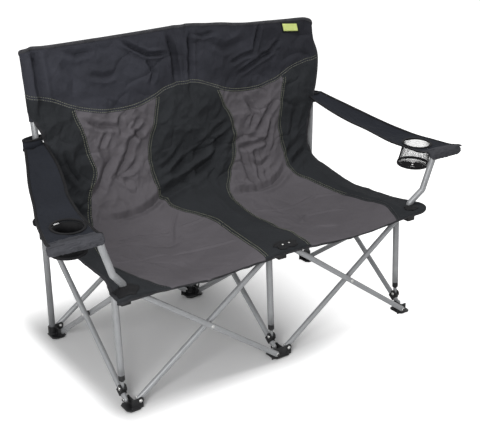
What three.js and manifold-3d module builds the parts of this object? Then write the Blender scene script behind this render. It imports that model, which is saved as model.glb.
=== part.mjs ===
// Folding two-seat camping chair: three scissor-linked columns of tube, plastic joints and a cloth sling.
// Millimetres. X runs to the sitter's left, Y to the back, Z up, and the floor is z = 0.
// Left and right in names are as seen from the front, so left is -X.
import * as THREE from 'three';
import { mergeVertices } from 'three/addons/utils/BufferGeometryUtils.js';
import Module from 'manifold-3d';

const wasm = await Module();
wasm.setup();

// Frame layout
const columnPitch = 496;
const rowPitch = 500;
const frontY = -rowPitch / 2;
const backY = rowPitch / 2;
const columns = [
  { name: 'left', x: -columnPitch, inward: 1, bays: [1] },
  { name: 'centre', x: 0, inward: 1, bays: [-1, 1] },
  { name: 'right', x: columnPitch, inward: -1, bays: [-1] },
];

// Scissor pivots
const crossInset = 26;
const frontSideInset = 26;
const backSideInset = 30;
const crossPivotZ = 25;
const sidePivotZ = 20;
const rise = 324;
const run = columnPitch - 2 * crossInset;
const barLength = Math.hypot(run, rise);
const barLean = Math.atan2(run, rise);

// Tubes
const barRadius = 8;
const barWall = 1.2;
const barEnd = 9;
const swage = 2.4;
const postRadius = 9.5;
const postWall = 1.2;
const tubeSides = 10;

// Clearances and fasteners
const touchGap = 0.4;
const pinRadius = 2.4;
const pinHoleRadius = 2.8;
const headRadius = 4.8;
const headHeight = 1.8;
const pinSides = 6;
const headSides = 8;
const earSides = 12;
const cupSides = 18;
const spacerRadius = 7;
const spacerGap = 0.3;

// Moulded joints
const plateHalf = 1.8;
const planeOffset = plateHalf + touchGap + barRadius;
const frontPlateY = frontY - planeOffset;
const sideOffset = 19.4;
const earRadius = 11;
const sideEarRadius = 9.6;
const padThickness = 8;
const padReach = 31;
const padShortReach = 16;
const padShortDepth = 9;
const padLongDepth = 46;
const padRearMargin = 6;
const sledRise = 4.5;
const soleInset = 6;
const topInset = 2.5;
const padCorner = 9;
const webBottom = 3;
const webRise = 9;
const lugRise = 8;
const socketRadius = 13.6;
const socketTop = 30;
const hubHalf = 10.8;
const hubFrontHalf = 14;
const hubPivotZ = crossPivotZ + rise;
const hubSideZ = sidePivotZ + rise;
const hubTop = hubPivotZ + 13;
const hubBottom = hubPivotZ - 32;
const hubRimRadius = 12.4;
const hubRimHeight = 3;
const sliderBore = postRadius + 0.8;
const sliderRadius = 14.5;
const sliderBottom = 322;
const sliderTop = 366;

// Back poles
const poleBottom = 7;
const poleBendZ = 630;
const poleTopZ = 874;
const poleTopBack = 37;
const bendRadius = 130;

// Front posts
const postPinAlong = 28;
const postPinOff = 14;
const postTopBack = 58;
const postTopZ = 335;
const tongueHalf = 4;
const tongueWidth = 10;
const plugStart = 23;
const plugLength = 16;
const postSlotHalf = 4.6;
const postSlotDepth = 19;

// Clevises
const clevisWall = 3.2;
const clevisBelow = 13;
const clevisAbove = 9;
const clevisEar = 11.5;
const clevisHalf = 9;

// Arms
const armSocketY = 3;
const armTubeBottom = 330;
const armPath = [[0, 0, armTubeBottom], [0, 0, 372], [35, -16, 414], [60, -19, 490], [66, -21, 511]];
const armCrookZ = 519;
const armReach = 186;
const armBend = 13;
const armHemFrom = 502;
const armThickness = 5;

// Half of an arm's outline, as distance out from the column and depth behind the front row
const armOuterEdge = [[196, -6], [180, 47], [158, 140], [131, 225], [104, 320], [70, 410], [34, 500]];
const armInnerEdge = [
  [-13, 500], [-24, 480], [-18, 409], [-8, 354], [6, 300], [25, 235], [41, 115], [52, -8],
];

// The line that an arm's cloth follows, as depth behind the front row and height
const armLine = [
  [-20, 515.3], [88, 521], [145, 524], [200, 534], [300, 556], [400, 585], [456, 601], [510, 618],
];
const pocketBottom = 578;
const pocketTop = 630;
const cupX = 106;
const cupY = 88;
const cupZ = 521;
const cupTilt = 3;
const cupLean = 0.12;
const cupRadius = 43;
const cupFlare = 3;
const cupDepth = 70;
const cupWall = 2;

// Cloth sling, profile points as depth behind the front row and height
const clothHalfWidth = 507;
const clothThickness = 4;
const creaseAt = 7 / 12;
const seatProfile = [[-43, 352], [-37, 365.5], [60, 366.5], [170, 358], [290, 356], [395, 380], [468, 418]];
const backProfile = [[477, 430], [481, 510], [481, 630], [499, 750], [518, 876]];
const seatSag = 34;
const seatGap = 0.002;
const backHalfWidth = 486;
const waist = 26;
const waistEnd = 0.66;
const backHollow = 26;
const headFlat = 0.55;
const restWidth = 0.1;
const sleeveRadius = 13;
const sleeveBottom = 642;
const sleeveSides = 12;
const tagThickness = 1.4;
const tagLift = 2.2;
const tagFrom = 0.81;
const tagTo = 0.93;
const tagLow = 0.9;
const tagHigh = 0.95;

// Colours
const tubeGrey = new THREE.Color(0.62, 0.63, 0.65);
const jointBlack = new THREE.Color(0.05, 0.05, 0.055);
const steel = new THREE.Color(0.75, 0.76, 0.77);
const charcoal = new THREE.Color(0.07, 0.075, 0.085);
const lime = new THREE.Color(0.7, 0.82, 0.2);

function finish(color, roughness, metalness) {
  return new THREE.MeshStandardMaterial({ color, roughness, metalness, flatShading: true });
}

const tubeFinish = () => finish(tubeGrey, 0.45, 0.35);
const plasticFinish = () => finish(jointBlack, 0.5, 0);
const rivetFinish = () => finish(steel, 0.3, 0.9);
const clothFinish = () => finish(charcoal, 0.9, 0);

// Solids

function solidOf(geometry) {
  const bare = geometry.index ? geometry.toNonIndexed() : geometry.clone();
  bare.deleteAttribute('normal');
  bare.deleteAttribute('uv');
  const merged = mergeVertices(bare, 1e-4);
  const vertProperties = merged.attributes.position.array;
  const triVerts = new Uint32Array(merged.index.array);
  return new wasm.Manifold(new wasm.Mesh({ numProp: 3, vertProperties, triVerts }));
}

function geometryOf(solid) {
  const mesh = solid.getMesh();
  const geometry = new THREE.BufferGeometry();
  geometry.setAttribute('position', new THREE.BufferAttribute(mesh.vertProperties, 3));
  geometry.setIndex(new THREE.BufferAttribute(mesh.triVerts, 1));
  geometry.computeVertexNormals();
  return geometry;
}

function joined(solids) {
  return solids.reduce((sum, solid) => sum.add(solid));
}

function box(x0, x1, y0, y1, z0, z1) {
  const geometry = new THREE.BoxGeometry(x1 - x0, y1 - y0, z1 - z0);
  geometry.translate((x0 + x1) / 2, (y0 + y1) / 2, (z0 + z1) / 2);
  return solidOf(geometry);
}

function cylinderAlongX(radius, x0, x1, y, z, sides = pinSides) {
  const geometry = new THREE.CylinderGeometry(radius, radius, x1 - x0, sides);
  geometry.rotateZ(Math.PI / 2).translate((x0 + x1) / 2, y, z);
  return solidOf(geometry);
}

function cylinderAlongY(radius, y0, y1, x, z, sides = pinSides) {
  const geometry = new THREE.CylinderGeometry(radius, radius, y1 - y0, sides);
  geometry.translate(x, (y0 + y1) / 2, z);
  return solidOf(geometry);
}

function cylinderAlongZ(radius, z0, z1, x, y, sides = tubeSides) {
  const geometry = new THREE.CylinderGeometry(radius, radius, z1 - z0, sides);
  geometry.rotateX(Math.PI / 2).translate(x, y, (z0 + z1) / 2);
  return solidOf(geometry);
}

// A rivet along X or Y from its root to its head, the head on the far side of the tube that it holds.
function rivet(along, root, tip, a, z) {
  const cylinder = along === 'x' ? cylinderAlongX : cylinderAlongY;
  const out = Math.sign(tip - root);
  const shank = cylinder(pinRadius, Math.min(root, tip), Math.max(root, tip), a, z);
  const headTip = tip + out * headHeight;
  const head = cylinder(headRadius, Math.min(tip, headTip), Math.max(tip, headTip), a, z, headSides);
  return shank.add(head);
}

function mesh(name, geometry, material) {
  const piece = new THREE.Mesh(geometry, material);
  piece.name = name;
  return piece;
}

// Curves and swept tubes

// A route through knots, which sweeps cut at the knots alone: long straight runs need no rings between.
class KnotPath extends THREE.Curve {
  constructor(knots) {
    super();
    this.knots = knots;
  }

  getPointAt(u) {
    const last = this.knots.length - 1;
    const i = Math.min(Math.floor(u * last + 1e-6), last - 1);
    return this.knots[i].clone().lerp(this.knots[i + 1], u * last - i);
  }

  getTangentAt(u) {
    const last = this.knots.length - 1;
    const i = Math.round(u * last);
    const before = this.knots[Math.max(i - 1, 0)];
    const here = this.knots[i];
    const after = this.knots[Math.min(i + 1, last)];
    const into = here.clone().sub(before).normalize();
    const onward = after.clone().sub(here).normalize();
    return into.add(onward).normalize();
  }
}

// Straight runs joined by bends of the given radius at the inner points.
function bentPath(points, radius, bendSteps = 3) {
  const corners = points.map((p) => new THREE.Vector3(...p));
  const knots = [corners[0]];
  for (let i = 1; i < corners.length - 1; i += 1) {
    const before = corners[i - 1].clone().sub(corners[i]).normalize();
    const after = corners[i + 1].clone().sub(corners[i]).normalize();
    const half = Math.acos(THREE.MathUtils.clamp(before.dot(after), -1, 1)) / 2;
    const reach = radius / Math.tan(half);
    const start = corners[i].clone().addScaledVector(before, reach);
    const end = corners[i].clone().addScaledVector(after, reach);
    knots.push(...new THREE.QuadraticBezierCurve3(start, corners[i], end).getPoints(bendSteps));
  }
  knots.push(corners[corners.length - 1]);
  return new KnotPath(knots);
}

function ringShape(outer, inner, sides) {
  const circle = (r) => Array.from({ length: sides }, (_, i) => {
    const turn = (i / sides) * 2 * Math.PI;
    return new THREE.Vector2(r * Math.cos(turn), r * Math.sin(turn));
  });
  const shape = new THREE.Shape(circle(outer));
  if (inner > 0) shape.holes.push(new THREE.Path(circle(inner)));
  return shape;
}

function sweep(path, outer, inner = 0, sides = tubeSides) {
  const options = { extrudePath: path, steps: path.knots.length - 1, curveSegments: 1 };
  return solidOf(new THREE.ExtrudeGeometry(ringShape(outer, inner, sides), options));
}

// Scissor bars

// A tube bar with closed, chamfered ends, its axis on local Y, drilled across at its ends and middle.
function barGeometry() {
  const tip = barLength / 2 + barEnd;
  const profile = [[0, -tip], [barRadius - swage, -tip], [barRadius, swage - tip],
    [barRadius, tip - swage], [barRadius - swage, tip], [0, tip]];
  const outer = new THREE.LatheGeometry(profile.map(([r, y]) => new THREE.Vector2(r, y)), tubeSides);
  const bore = new THREE.CylinderGeometry(barRadius - barWall, barRadius - barWall, barLength, headSides);
  const drilled = [-barLength / 2, 0, barLength / 2].map((y) => {
    const hole = new THREE.CylinderGeometry(pinHoleRadius, pinHoleRadius, 2 * barRadius + 2, pinSides);
    return solidOf(hole.rotateX(Math.PI / 2).translate(0, y, 0));
  });
  return geometryOf(solidOf(outer).subtract(solidOf(bore)).subtract(joined(drilled)));
}

const sharedBar = barGeometry();

function bar(name, x, y, z, turn) {
  const piece = mesh(name, sharedBar, tubeFinish());
  piece.position.set(x, y, z);
  piece.rotation.copy(turn);
  return piece;
}

// The two crossed bars in each bay of a row.
function crossBars(rowName, plateY) {
  const bars = [];
  for (const [i, bayName] of ['left', 'right'].entries()) {
    const x = (columns[i].x + columns[i + 1].x) / 2;
    const z = crossPivotZ + rise / 2;
    const upRight = new THREE.Euler(Math.PI / 2, barLean, 0, 'YXZ');
    const upLeft = new THREE.Euler(Math.PI / 2, -barLean, 0, 'YXZ');
    bars.push(bar(`${rowName}_${bayName}_bar_up_right`, x, plateY + planeOffset, z, upRight));
    bars.push(bar(`${rowName}_${bayName}_bar_up_left`, x, plateY - planeOffset, z, upLeft));
  }
  return bars;
}

const sideMidY = (frontY + frontSideInset + backY - backSideInset) / 2;
const sideMidZ = sidePivotZ + rise / 2;

// Turns a bar drilled along Z into one drilled along X, then leans it in the YZ plane.
function sideTurn(lean) {
  const drillAcross = new THREE.Quaternion().setFromAxisAngle(new THREE.Vector3(0, 1, 0), Math.PI / 2);
  const leanBack = new THREE.Quaternion().setFromAxisAngle(new THREE.Vector3(1, 0, 0), Math.PI / 2 - lean);
  return new THREE.Euler().setFromQuaternion(leanBack.multiply(drillAcross));
}

function sideBars({ name, x, inward }) {
  const upBack = bar(`side_${name}_bar_up_back`, x, sideMidY, sideMidZ, sideTurn(barLean));
  const upFront = bar(`side_${name}_bar_up_front`, x + inward * sideOffset, sideMidY, sideMidZ,
    sideTurn(-barLean));
  return [upBack, upFront];
}

// The rivet through a crossing, with a spacer washer between the two tubes.
function crossingGeometry(gapWidth) {
  const reach = gapWidth / 2 + 2 * barRadius + touchGap;
  const spacerHalf = gapWidth / 2 - spacerGap;
  const shank = cylinderAlongY(pinRadius, -reach, reach, 0, 0);
  const heads = [-reach - headHeight, reach].map((y) => (
    cylinderAlongY(headRadius, y, y + headHeight, 0, 0, headSides)));
  const spacer = cylinderAlongY(spacerRadius, -spacerHalf, spacerHalf, 0, 0, headSides);
  return geometryOf(joined([shank, ...heads, spacer]));
}

function crossingRivets() {
  const crossing = crossingGeometry(2 * planeOffset - 2 * barRadius);
  const side = crossingGeometry(sideOffset - 2 * barRadius);
  const pieces = [];
  for (const [rowName, y] of [['front', frontPlateY], ['rear', backY]]) {
    for (const [i, bayName] of ['left', 'right'].entries()) {
      const piece = mesh(`${rowName}_${bayName}_crossing_rivet`, crossing, rivetFinish());
      piece.position.set((columns[i].x + columns[i + 1].x) / 2, y, crossPivotZ + rise / 2);
      pieces.push(piece);
    }
  }
  for (const { name, x, inward } of columns) {
    const piece = mesh(`side_${name}_crossing_rivet`, side, rivetFinish());
    piece.position.set(x + inward * sideOffset / 2, sideMidY, sideMidZ);
    piece.rotation.z = Math.PI / 2;
    pieces.push(piece);
  }
  return pieces;
}

// Feet, hubs and sliders share the upright plate that the crossed bars are riveted to.

// bays holds -1 and +1 for the sides that have a bar; at a foot the bar to the right is behind the plate,
// and at a hub or slider it is in front. zFrom and zTo are the plate's edges between its ears.
function crossPlate(x, plateY, z, bays, atTop, zFrom, zTo) {
  const front = plateY - plateHalf;
  const back = plateY + plateHalf;
  const parts = [];
  for (const bay of bays) {
    const pinX = x + bay * crossInset;
    const face = (atTop ? -bay : bay) > 0 ? 1 : -1;
    const root = plateY - face * (plateHalf + headHeight);
    const tip = plateY + face * (planeOffset + barRadius + touchGap);
    parts.push(box(Math.min(x, pinX), Math.max(x, pinX), front, back, zFrom, zTo));
    parts.push(cylinderAlongY(earRadius, front, back, pinX, z, earSides));
    const [y0, y1] = [Math.min(root, plateY), Math.max(root, plateY)];
    parts.push(cylinderAlongY(headRadius, y0, y1, pinX, z, headSides));
    parts.push(rivet('y', root, tip, pinX, z));
  }
  return joined(parts);
}

// The plate of a foot keeps its full width down to the pad.
function footPlate({ x, bays }, plateY) {
  const skirts = bays.map((bay) => {
    const end = x + bay * (crossInset + earRadius - 2);
    const [x0, x1] = [Math.min(x, end), Math.max(x, end)];
    return box(x0, x1, plateY - plateHalf, plateY + plateHalf, webBottom, crossPivotZ);
  });
  const upper = crossPlate(x, plateY, crossPivotZ, bays, false, webBottom, crossPivotZ + webRise);
  return joined([...skirts, upper]);
}

// A lug beside a side bar, with its rivet. face is the side of the lug that the bar lies on.
function sideLug(barX, face, y, z, fromY, zFrom, zTo) {
  const inner = barX - face * (barRadius + touchGap);
  const outer = inner - face * 2 * plateHalf;
  const x0 = Math.min(inner, outer);
  const x1 = Math.max(inner, outer);
  const web = box(x0, x1, Math.min(y, fromY), Math.max(y, fromY), zFrom, zTo);
  const ear = cylinderAlongX(sideEarRadius, x0, x1, y, z, earSides);
  const root = outer - face * headHeight;
  const head = cylinderAlongX(headRadius, Math.min(root, outer), Math.max(root, outer), y, z, headSides);
  return joined([web, ear, head, rivet('x', root, barX + face * (barRadius + touchGap), y, z)]);
}

// A flat-soled pad with clipped corners, whose edges turn up all round like a sled's.
function pad({ x, bays }, y0, y1) {
  const left = x - (bays.includes(-1) ? padReach : padShortReach);
  const right = x + (bays.includes(1) ? padReach : padShortReach);
  const points = [];
  for (const [z, inset] of [[0, soleInset], [sledRise, 0], [padThickness, topInset]]) {
    for (const [edgeX, outX] of [[left, -1], [right, 1]]) {
      for (const [edgeY, outY] of [[y0, -1], [y1, 1]]) {
        const cornerX = edgeX - outX * inset;
        const cornerY = edgeY - outY * inset;
        points.push([cornerX - outX * padCorner, cornerY, z], [cornerX, cornerY - outY * padCorner, z]);
      }
    }
  }
  return wasm.Manifold.hull(points);
}

function frontFoot(column) {
  const { name, x, inward } = column;
  const sole = pad(column, frontPlateY - padShortDepth, frontPlateY + padLongDepth);
  const lug = sideLug(x, -inward, frontY + frontSideInset, sidePivotZ, frontPlateY, webBottom,
    sidePivotZ + lugRise);
  const solid = joined([sole, footPlate(column, frontPlateY), lug]);
  return mesh(`foot_front_${name}`, geometryOf(solid), plasticFinish());
}

function rearFoot(column) {
  const { name, x, inward } = column;
  const sole = pad(column, backY - padLongDepth + padRearMargin, backY + padShortDepth + padRearMargin + 1);
  const lug = sideLug(x + inward * sideOffset, inward, backY - backSideInset, sidePivotZ, backY, webBottom,
    sidePivotZ + lugRise);
  const socket = cylinderAlongZ(socketRadius, webBottom, socketTop, x, backY, earSides);
  const bore = cylinderAlongZ(postRadius + touchGap, poleBottom - 0.6, socketTop + 10, x, backY, tubeSides);
  const solid = joined([sole, footPlate(column, backY), lug, socket]).subtract(bore);
  return mesh(`foot_rear_${name}`, geometryOf(solid), plasticFinish());
}

function hub(column) {
  const { name, x, inward, bays } = column;
  const hasArm = bays.length === 1;
  const plate = crossPlate(x, frontPlateY, hubPivotZ, bays, true, hubPivotZ - earRadius, hubTop);
  const nose = box(x - hubFrontHalf, x + hubFrontHalf, frontPlateY, frontY + 14.5, hubBottom, hubTop);
  const block = box(x - hubHalf, x + hubHalf, frontY + 10, frontY + 44, hubBottom, hubTop);
  const neck = box(x - 4, x + 4, frontY + 40, frontY + postTopBack + 8, postTopZ - 12, postTopZ + 9);
  const postY = frontY + postTopBack;
  const reach = postRadius + touchGap;
  const topPin = cylinderAlongX(pinRadius, x - reach, x + reach, postY, postTopZ);
  const postHeads = [-reach - headHeight, reach].map((dx) => (
    cylinderAlongX(headRadius, x + dx, x + dx + headHeight, postY, postTopZ, headSides)));
  const sideY = frontY + frontSideInset;
  const sideTip = x + inward * (sideOffset + barRadius + touchGap);
  const sidePin = rivet('x', x, sideTip, sideY, hubSideZ);
  let solid = joined([plate, nose, block, neck, topPin, ...postHeads, sidePin]);
  if (hasArm) {
    const y = frontY + armSocketY;
    const rim = cylinderAlongZ(hubRimRadius, hubTop - 2, hubTop + hubRimHeight, x, y, earSides);
    const armBore = cylinderAlongZ(postRadius + touchGap, armTubeBottom - 1, hubTop + 20, x, y, tubeSides);
    solid = solid.add(rim).subtract(armBore);
  }
  return mesh(`hub_${name}`, geometryOf(solid), plasticFinish());
}

function slider(column) {
  const { name, x, inward, bays } = column;
  const ring = cylinderAlongZ(sliderRadius, sliderBottom, sliderTop, x, backY, earSides);
  const plate = crossPlate(x, backY, hubPivotZ, bays, true, hubPivotZ - 10, hubPivotZ + 10);
  const y = backY - backSideInset;
  const lug = sideLug(x, -inward, y, hubSideZ, backY - 8, hubSideZ - 9, hubSideZ + 9);
  const bore = cylinderAlongZ(sliderBore, sliderBottom - 5, sliderTop + 5, x, backY);
  const solid = joined([ring, plate, lug]).subtract(bore);
  return mesh(`slider_${name}`, geometryOf(solid), plasticFinish());
}

// Uprights

function poleAxis(x) {
  return bentPath([[x, backY, poleBottom], [x, backY, poleBendZ + 10],
    [x, backY + poleTopBack, poleTopZ]], bendRadius);
}

function pole({ name, x }) {
  const solid = sweep(poleAxis(x), postRadius, postRadius - postWall);
  return mesh(`back_pole_${name}`, geometryOf(solid), tubeFinish());
}

const postPin = {
  y: frontY + frontSideInset + postPinAlong * Math.sin(barLean) - postPinOff * Math.cos(barLean),
  z: sidePivotZ + postPinAlong * Math.cos(barLean) + postPinOff * Math.sin(barLean),
};
const postTop = { y: frontY + postTopBack, z: postTopZ };
const postLean = Math.atan2(postTop.y - postPin.y, postTop.z - postPin.z);
const postSpan = Math.hypot(postTop.y - postPin.y, postTop.z - postPin.z);

// Post pieces are made upright with the lower pivot at the origin, then leaned back and moved to it.
function leanPost(piece, x) {
  piece.position.set(x, postPin.y, postPin.z);
  piece.rotation.x = -postLean;
  return piece;
}

function lowerPost({ name, x }) {
  const from = plugStart + plugLength + touchGap;
  const to = postSpan + 9;
  const outside = cylinderAlongZ(postRadius, from, to, 0, 0);
  const inside = cylinderAlongZ(postRadius - postWall, from - 1, to + 1, 0, 0);
  const slot = box(-postSlotHalf, postSlotHalf, -20, 20, postSpan - postSlotDepth, to + 1);
  const drilled = cylinderAlongX(pinHoleRadius, -20, 20, 0, postSpan);
  const solid = outside.subtract(inside).subtract(slot).subtract(drilled);
  return leanPost(mesh(`front_post_${name}`, geometryOf(solid), tubeFinish()), x);
}

function postPlug({ name, x }) {
  const collar = cylinderAlongZ(postRadius, plugStart, plugStart + plugLength, 0, 0);
  const spigotTop = plugStart + plugLength + 20;
  const spigot = cylinderAlongZ(postRadius - postWall - touchGap, plugStart, spigotTop, 0, 0);
  const tongue = box(-tongueHalf, tongueHalf, -tongueWidth / 2, tongueWidth / 2, 0, plugStart + 2);
  const tip = cylinderAlongX(tongueWidth / 2, -tongueHalf, tongueHalf, 0, 0, earSides);
  const eye = cylinderAlongX(pinHoleRadius, -10, 10, 0, 0);
  const solid = joined([collar, spigot, tongue, tip]).subtract(eye);
  return leanPost(mesh(`post_plug_${name}`, geometryOf(solid), plasticFinish()), x);
}

// The clevis is made with the bar's axis on Z and its pivot on the -Y side, then leaned with the bar.
function clevis({ name, x }) {
  const bore = barRadius + touchGap;
  const slotHalf = tongueHalf + 0.6;
  const collar = cylinderAlongZ(bore + clevisWall, -clevisBelow, clevisAbove, 0, 0, earSides);
  const ears = cylinderAlongX(clevisEar, -clevisHalf, clevisHalf, -postPinOff, 0, earSides);
  const cheeks = box(-clevisHalf, clevisHalf, -postPinOff, 0, -clevisBelow + 2, clevisAbove - 1);
  const heads = [-clevisHalf - headHeight, clevisHalf].map((x0) => (
    cylinderAlongX(headRadius, x0, x0 + headHeight, -postPinOff, 0, headSides)));
  const through = cylinderAlongZ(bore + 0.3, -20, 20, 0, 0, earSides);
  const slot = box(-slotHalf, slotHalf, -40, -barRadius - 0.5, -7, 20);
  const solid = joined([collar, ears, cheeks, ...heads]).subtract(through).subtract(slot);
  const piece = mesh(`clevis_${name}`, geometryOf(solid), plasticFinish());
  piece.position.set(x, frontY + frontSideInset + postPinAlong * Math.sin(barLean),
    sidePivotZ + postPinAlong * Math.cos(barLean));
  piece.rotation.x = -barLean;
  return piece;
}

// Arms. Each solid is made for the left side, where out is -1, and mirrored for the right, where out is 1.

const armSides = [{ name: 'left', out: -1 }, { name: 'right', out: 1 }];

function sided(leftSolid, out) {
  return out < 0 ? leftSolid : leftSolid.mirror([1, 0, 0]);
}

function armAxis() {
  const points = armPath.map(([dx, dy, z]) => [-columnPitch - dx, frontY + armSocketY + dy, z]);
  points.push([-columnPitch - 72, frontY - 18, armCrookZ]);
  points.push([-columnPitch - armReach, frontY - 2, armCrookZ - 8]);
  return bentPath(points, armBend, 2);
}

function armPost({ name, out }) {
  const solid = sweep(armAxis(), postRadius, postRadius - postWall);
  return mesh(`arm_post_${name}`, geometryOf(sided(solid, out)), tubeFinish());
}

function prismAlongX(outline, x0, x1) {
  const shape = new THREE.Shape(outline.map(([y, z]) => new THREE.Vector2(y, z)));
  const geometry = new THREE.ExtrudeGeometry(shape, { depth: x1 - x0, bevelEnabled: false });
  geometry.applyMatrix4(new THREE.Matrix4().set(0, 0, 1, x0, 1, 0, 0, 0, 0, 1, 0, 0, 0, 0, 0, 1));
  return solidOf(geometry);
}

// A slab that follows the sag line, cut to the arm's outline.
function armSheet() {
  const upper = armLine.map(([y, z]) => [frontY + y, z + armThickness / 2]);
  const lower = armLine.map(([y, z]) => [frontY + y, z - armThickness / 2]).reverse();
  const slab = prismAlongX([...upper, ...lower], -columnPitch - 240, -columnPitch + 80);
  const outline = [...armOuterEdge, ...armInnerEdge].map(([out, y]) => (
    new THREE.Vector2(-columnPitch - out, frontY + y)));
  const geometry = new THREE.ExtrudeGeometry(new THREE.Shape(outline), { depth: 200, bevelEnabled: false });
  return slab.intersect(solidOf(geometry.translate(0, 0, 460)));
}

const cupPlace = (out) => [out * (columnPitch + cupX), frontY + cupY, cupZ];

function arm({ name, out }) {
  const hem = sweep(armAxis(), postRadius + 4.5).translate([0, 0, 2]);
  const front = box(-900, 900, frontY - 60, frontY + 60, armHemFrom, armCrookZ + 60);
  const pocket = cylinderAlongZ(sleeveRadius + 1, pocketBottom, pocketTop, -columnPitch, backY, earSides);
  const postRoom = sweep(armAxis(), postRadius + touchGap);
  const poleRoom = cylinderAlongZ(postRadius + touchGap, 400, 700, -columnPitch, backY);
  const cupRoom = cylinderAlongZ(cupRadius + 1.5, -60, 60, 0, 0, cupSides).rotate([cupTilt, 0, 0])
    .translate(cupPlace(-1));
  const rooms = joined([postRoom, poleRoom, cupRoom]);
  const solid = joined([hem.intersect(front), armSheet(), pocket]).subtract(rooms);
  return mesh(`arm_cloth_${name}`, geometryOf(sided(solid, out)), clothFinish());
}

// A net cup that widens to its foot and leans back, hung from a ring that lies on the arm.
function cup({ name, out }) {
  const rimZ = armThickness / 2 + 1.4;
  const foot = cupRadius + cupFlare;
  const inner = cupRadius - cupWall;
  const profile = [
    [0, -cupDepth], [foot, -cupDepth], [foot, -cupDepth + 13], [cupRadius, -6], [cupRadius, rimZ],
    [cupRadius + 4, rimZ], [cupRadius + 4, rimZ + 2], [inner, rimZ + 2], [inner, -6],
    [foot - cupWall, -cupDepth + 12], [foot - cupWall, -cupDepth + 2.5], [0, -cupDepth + 2.5],
  ];
  const points = profile.map(([r, z]) => new THREE.Vector2(r, z));
  const geometry = new THREE.LatheGeometry(points, cupSides).rotateX(Math.PI / 2);
  geometry.applyMatrix4(new THREE.Matrix4().set(1, 0, 0, 0, 0, 1, -cupLean, 0, 0, 0, 1, 0, 0, 0, 0, 1));
  const piece = mesh(`cup_${name}`, geometryOf(solidOf(geometry)), clothFinish());
  piece.position.set(...cupPlace(out));
  piece.rotation.x = THREE.MathUtils.degToRad(cupTilt);
  return piece;
}

// Cloth sling

function profileCurve(points) {
  const spline = new THREE.SplineCurve(points.map(([y, z]) => new THREE.Vector2(frontY + y, z)));
  return (v) => spline.getPoint(THREE.MathUtils.clamp(v, 0, 1));
}

const seatCurve = profileCurve(seatProfile);
const backCurve = profileCurve(backProfile);

// How far the cloth has fallen away from its supports across a bay, from 0 over a column to 1 mid-bay.
function bayDip(u) {
  const fromColumn = Math.abs(u) % 1;
  const across = THREE.MathUtils.clamp((fromColumn - restWidth) / (1 - 2 * restWidth), 0, 1);
  return Math.sin(Math.PI * across) ** 0.85;
}

function seatPoint(u, v) {
  const side = seatCurve(v);
  const dip = bayDip(u) * seatSag * (1 + 0.5 * Math.sin(Math.PI * v));
  const corner = Math.max(0, 1 - v / 0.12) * Math.max(0, Math.abs(u) - 0.9) * 10;
  const width = clothHalfWidth + 34 * corner;
  return new THREE.Vector3(u * width, side.x + bayDip(u) * 12 * v, side.y - dip * (1 - 0.35 * v));
}

function backPoint(u, v) {
  const side = backCurve(v);
  const hollow = bayDip(u) * backHollow * (1 - headFlat * v);
  const crest = v > 0.9 ? (1 - u * u) * 16 * (v - 0.9) * 10 : 0;
  const width = THREE.MathUtils.lerp(backHalfWidth - waist, backHalfWidth, Math.min(v / waistEnd, 1) ** 3);
  return new THREE.Vector3(u * width, side.x + hollow, side.y + crest);
}

// A closed sheet of even thickness over a grid of (u, v), its lower face pushed back along the normal.
function sheet(point, uSteps, vSteps, v0, v1, thickness = clothThickness) {
  const uAt = (i) => -1 + (2 * i) / uSteps;
  const vAt = (j) => v0 + ((v1 - v0) * j) / vSteps;
  const normal = (u, v) => {
    const e = 1e-3;
    const across = point(u + e, v).sub(point(u - e, v));
    const along = point(u, v + e).sub(point(u, v - e));
    return across.cross(along).normalize();
  };
  const rows = [];
  for (const side of [thickness / 2, -thickness / 2]) {
    for (let j = 0; j <= vSteps; j += 1) {
      for (let i = 0; i <= uSteps; i += 1) {
        const place = point(uAt(i), vAt(j));
        rows.push(place.addScaledVector(normal(uAt(i), vAt(j)), side));
      }
    }
  }
  const layer = (uSteps + 1) * (vSteps + 1);
  const at = (i, j, low) => (low ? layer : 0) + j * (uSteps + 1) + i;
  const index = [];
  const quad = (a, b, c, d) => index.push(a, b, c, a, c, d);
  for (let j = 0; j < vSteps; j += 1) {
    for (let i = 0; i < uSteps; i += 1) {
      quad(at(i, j), at(i + 1, j), at(i + 1, j + 1), at(i, j + 1));
      quad(at(i, j, true), at(i, j + 1, true), at(i + 1, j + 1, true), at(i + 1, j, true));
    }
    quad(at(0, j), at(0, j + 1), at(0, j + 1, true), at(0, j, true));
    quad(at(uSteps, j), at(uSteps, j, true), at(uSteps, j + 1, true), at(uSteps, j + 1));
  }
  for (let i = 0; i < uSteps; i += 1) {
    quad(at(i, 0), at(i, 0, true), at(i + 1, 0, true), at(i + 1, 0));
    quad(at(i, vSteps), at(i + 1, vSteps), at(i + 1, vSteps, true), at(i, vSteps, true));
  }
  const geometry = new THREE.BufferGeometry();
  const flat = rows.flatMap((p) => p.toArray());
  geometry.setAttribute('position', new THREE.Float32BufferAttribute(flat, 3));
  geometry.setIndex(index);
  return solidOf(geometry);
}

function seatFront() {
  const armRoom = sweep(armAxis(), postRadius + 3.5);
  const y = frontY + armSocketY;
  const rimRoom = cylinderAlongZ(hubRimRadius + 1, hubTop - 4, hubTop + 12, -columnPitch, y, earSides);
  const cuts = armSides.map(({ out }) => sided(armRoom.add(rimRoom), out));
  const solid = sheet(seatPoint, 24, 7, 0, creaseAt - seatGap).subtract(joined(cuts));
  return mesh('seat_cloth_front', geometryOf(solid), clothFinish());
}

function seatRear() {
  return mesh('seat_cloth_rear', geometryOf(sheet(seatPoint, 24, 5, creaseAt + seatGap, 1)), clothFinish());
}

function backCloth() {
  return mesh('back_cloth', geometryOf(sheet(backPoint, 24, 9, 0, 1)), clothFinish());
}

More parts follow.
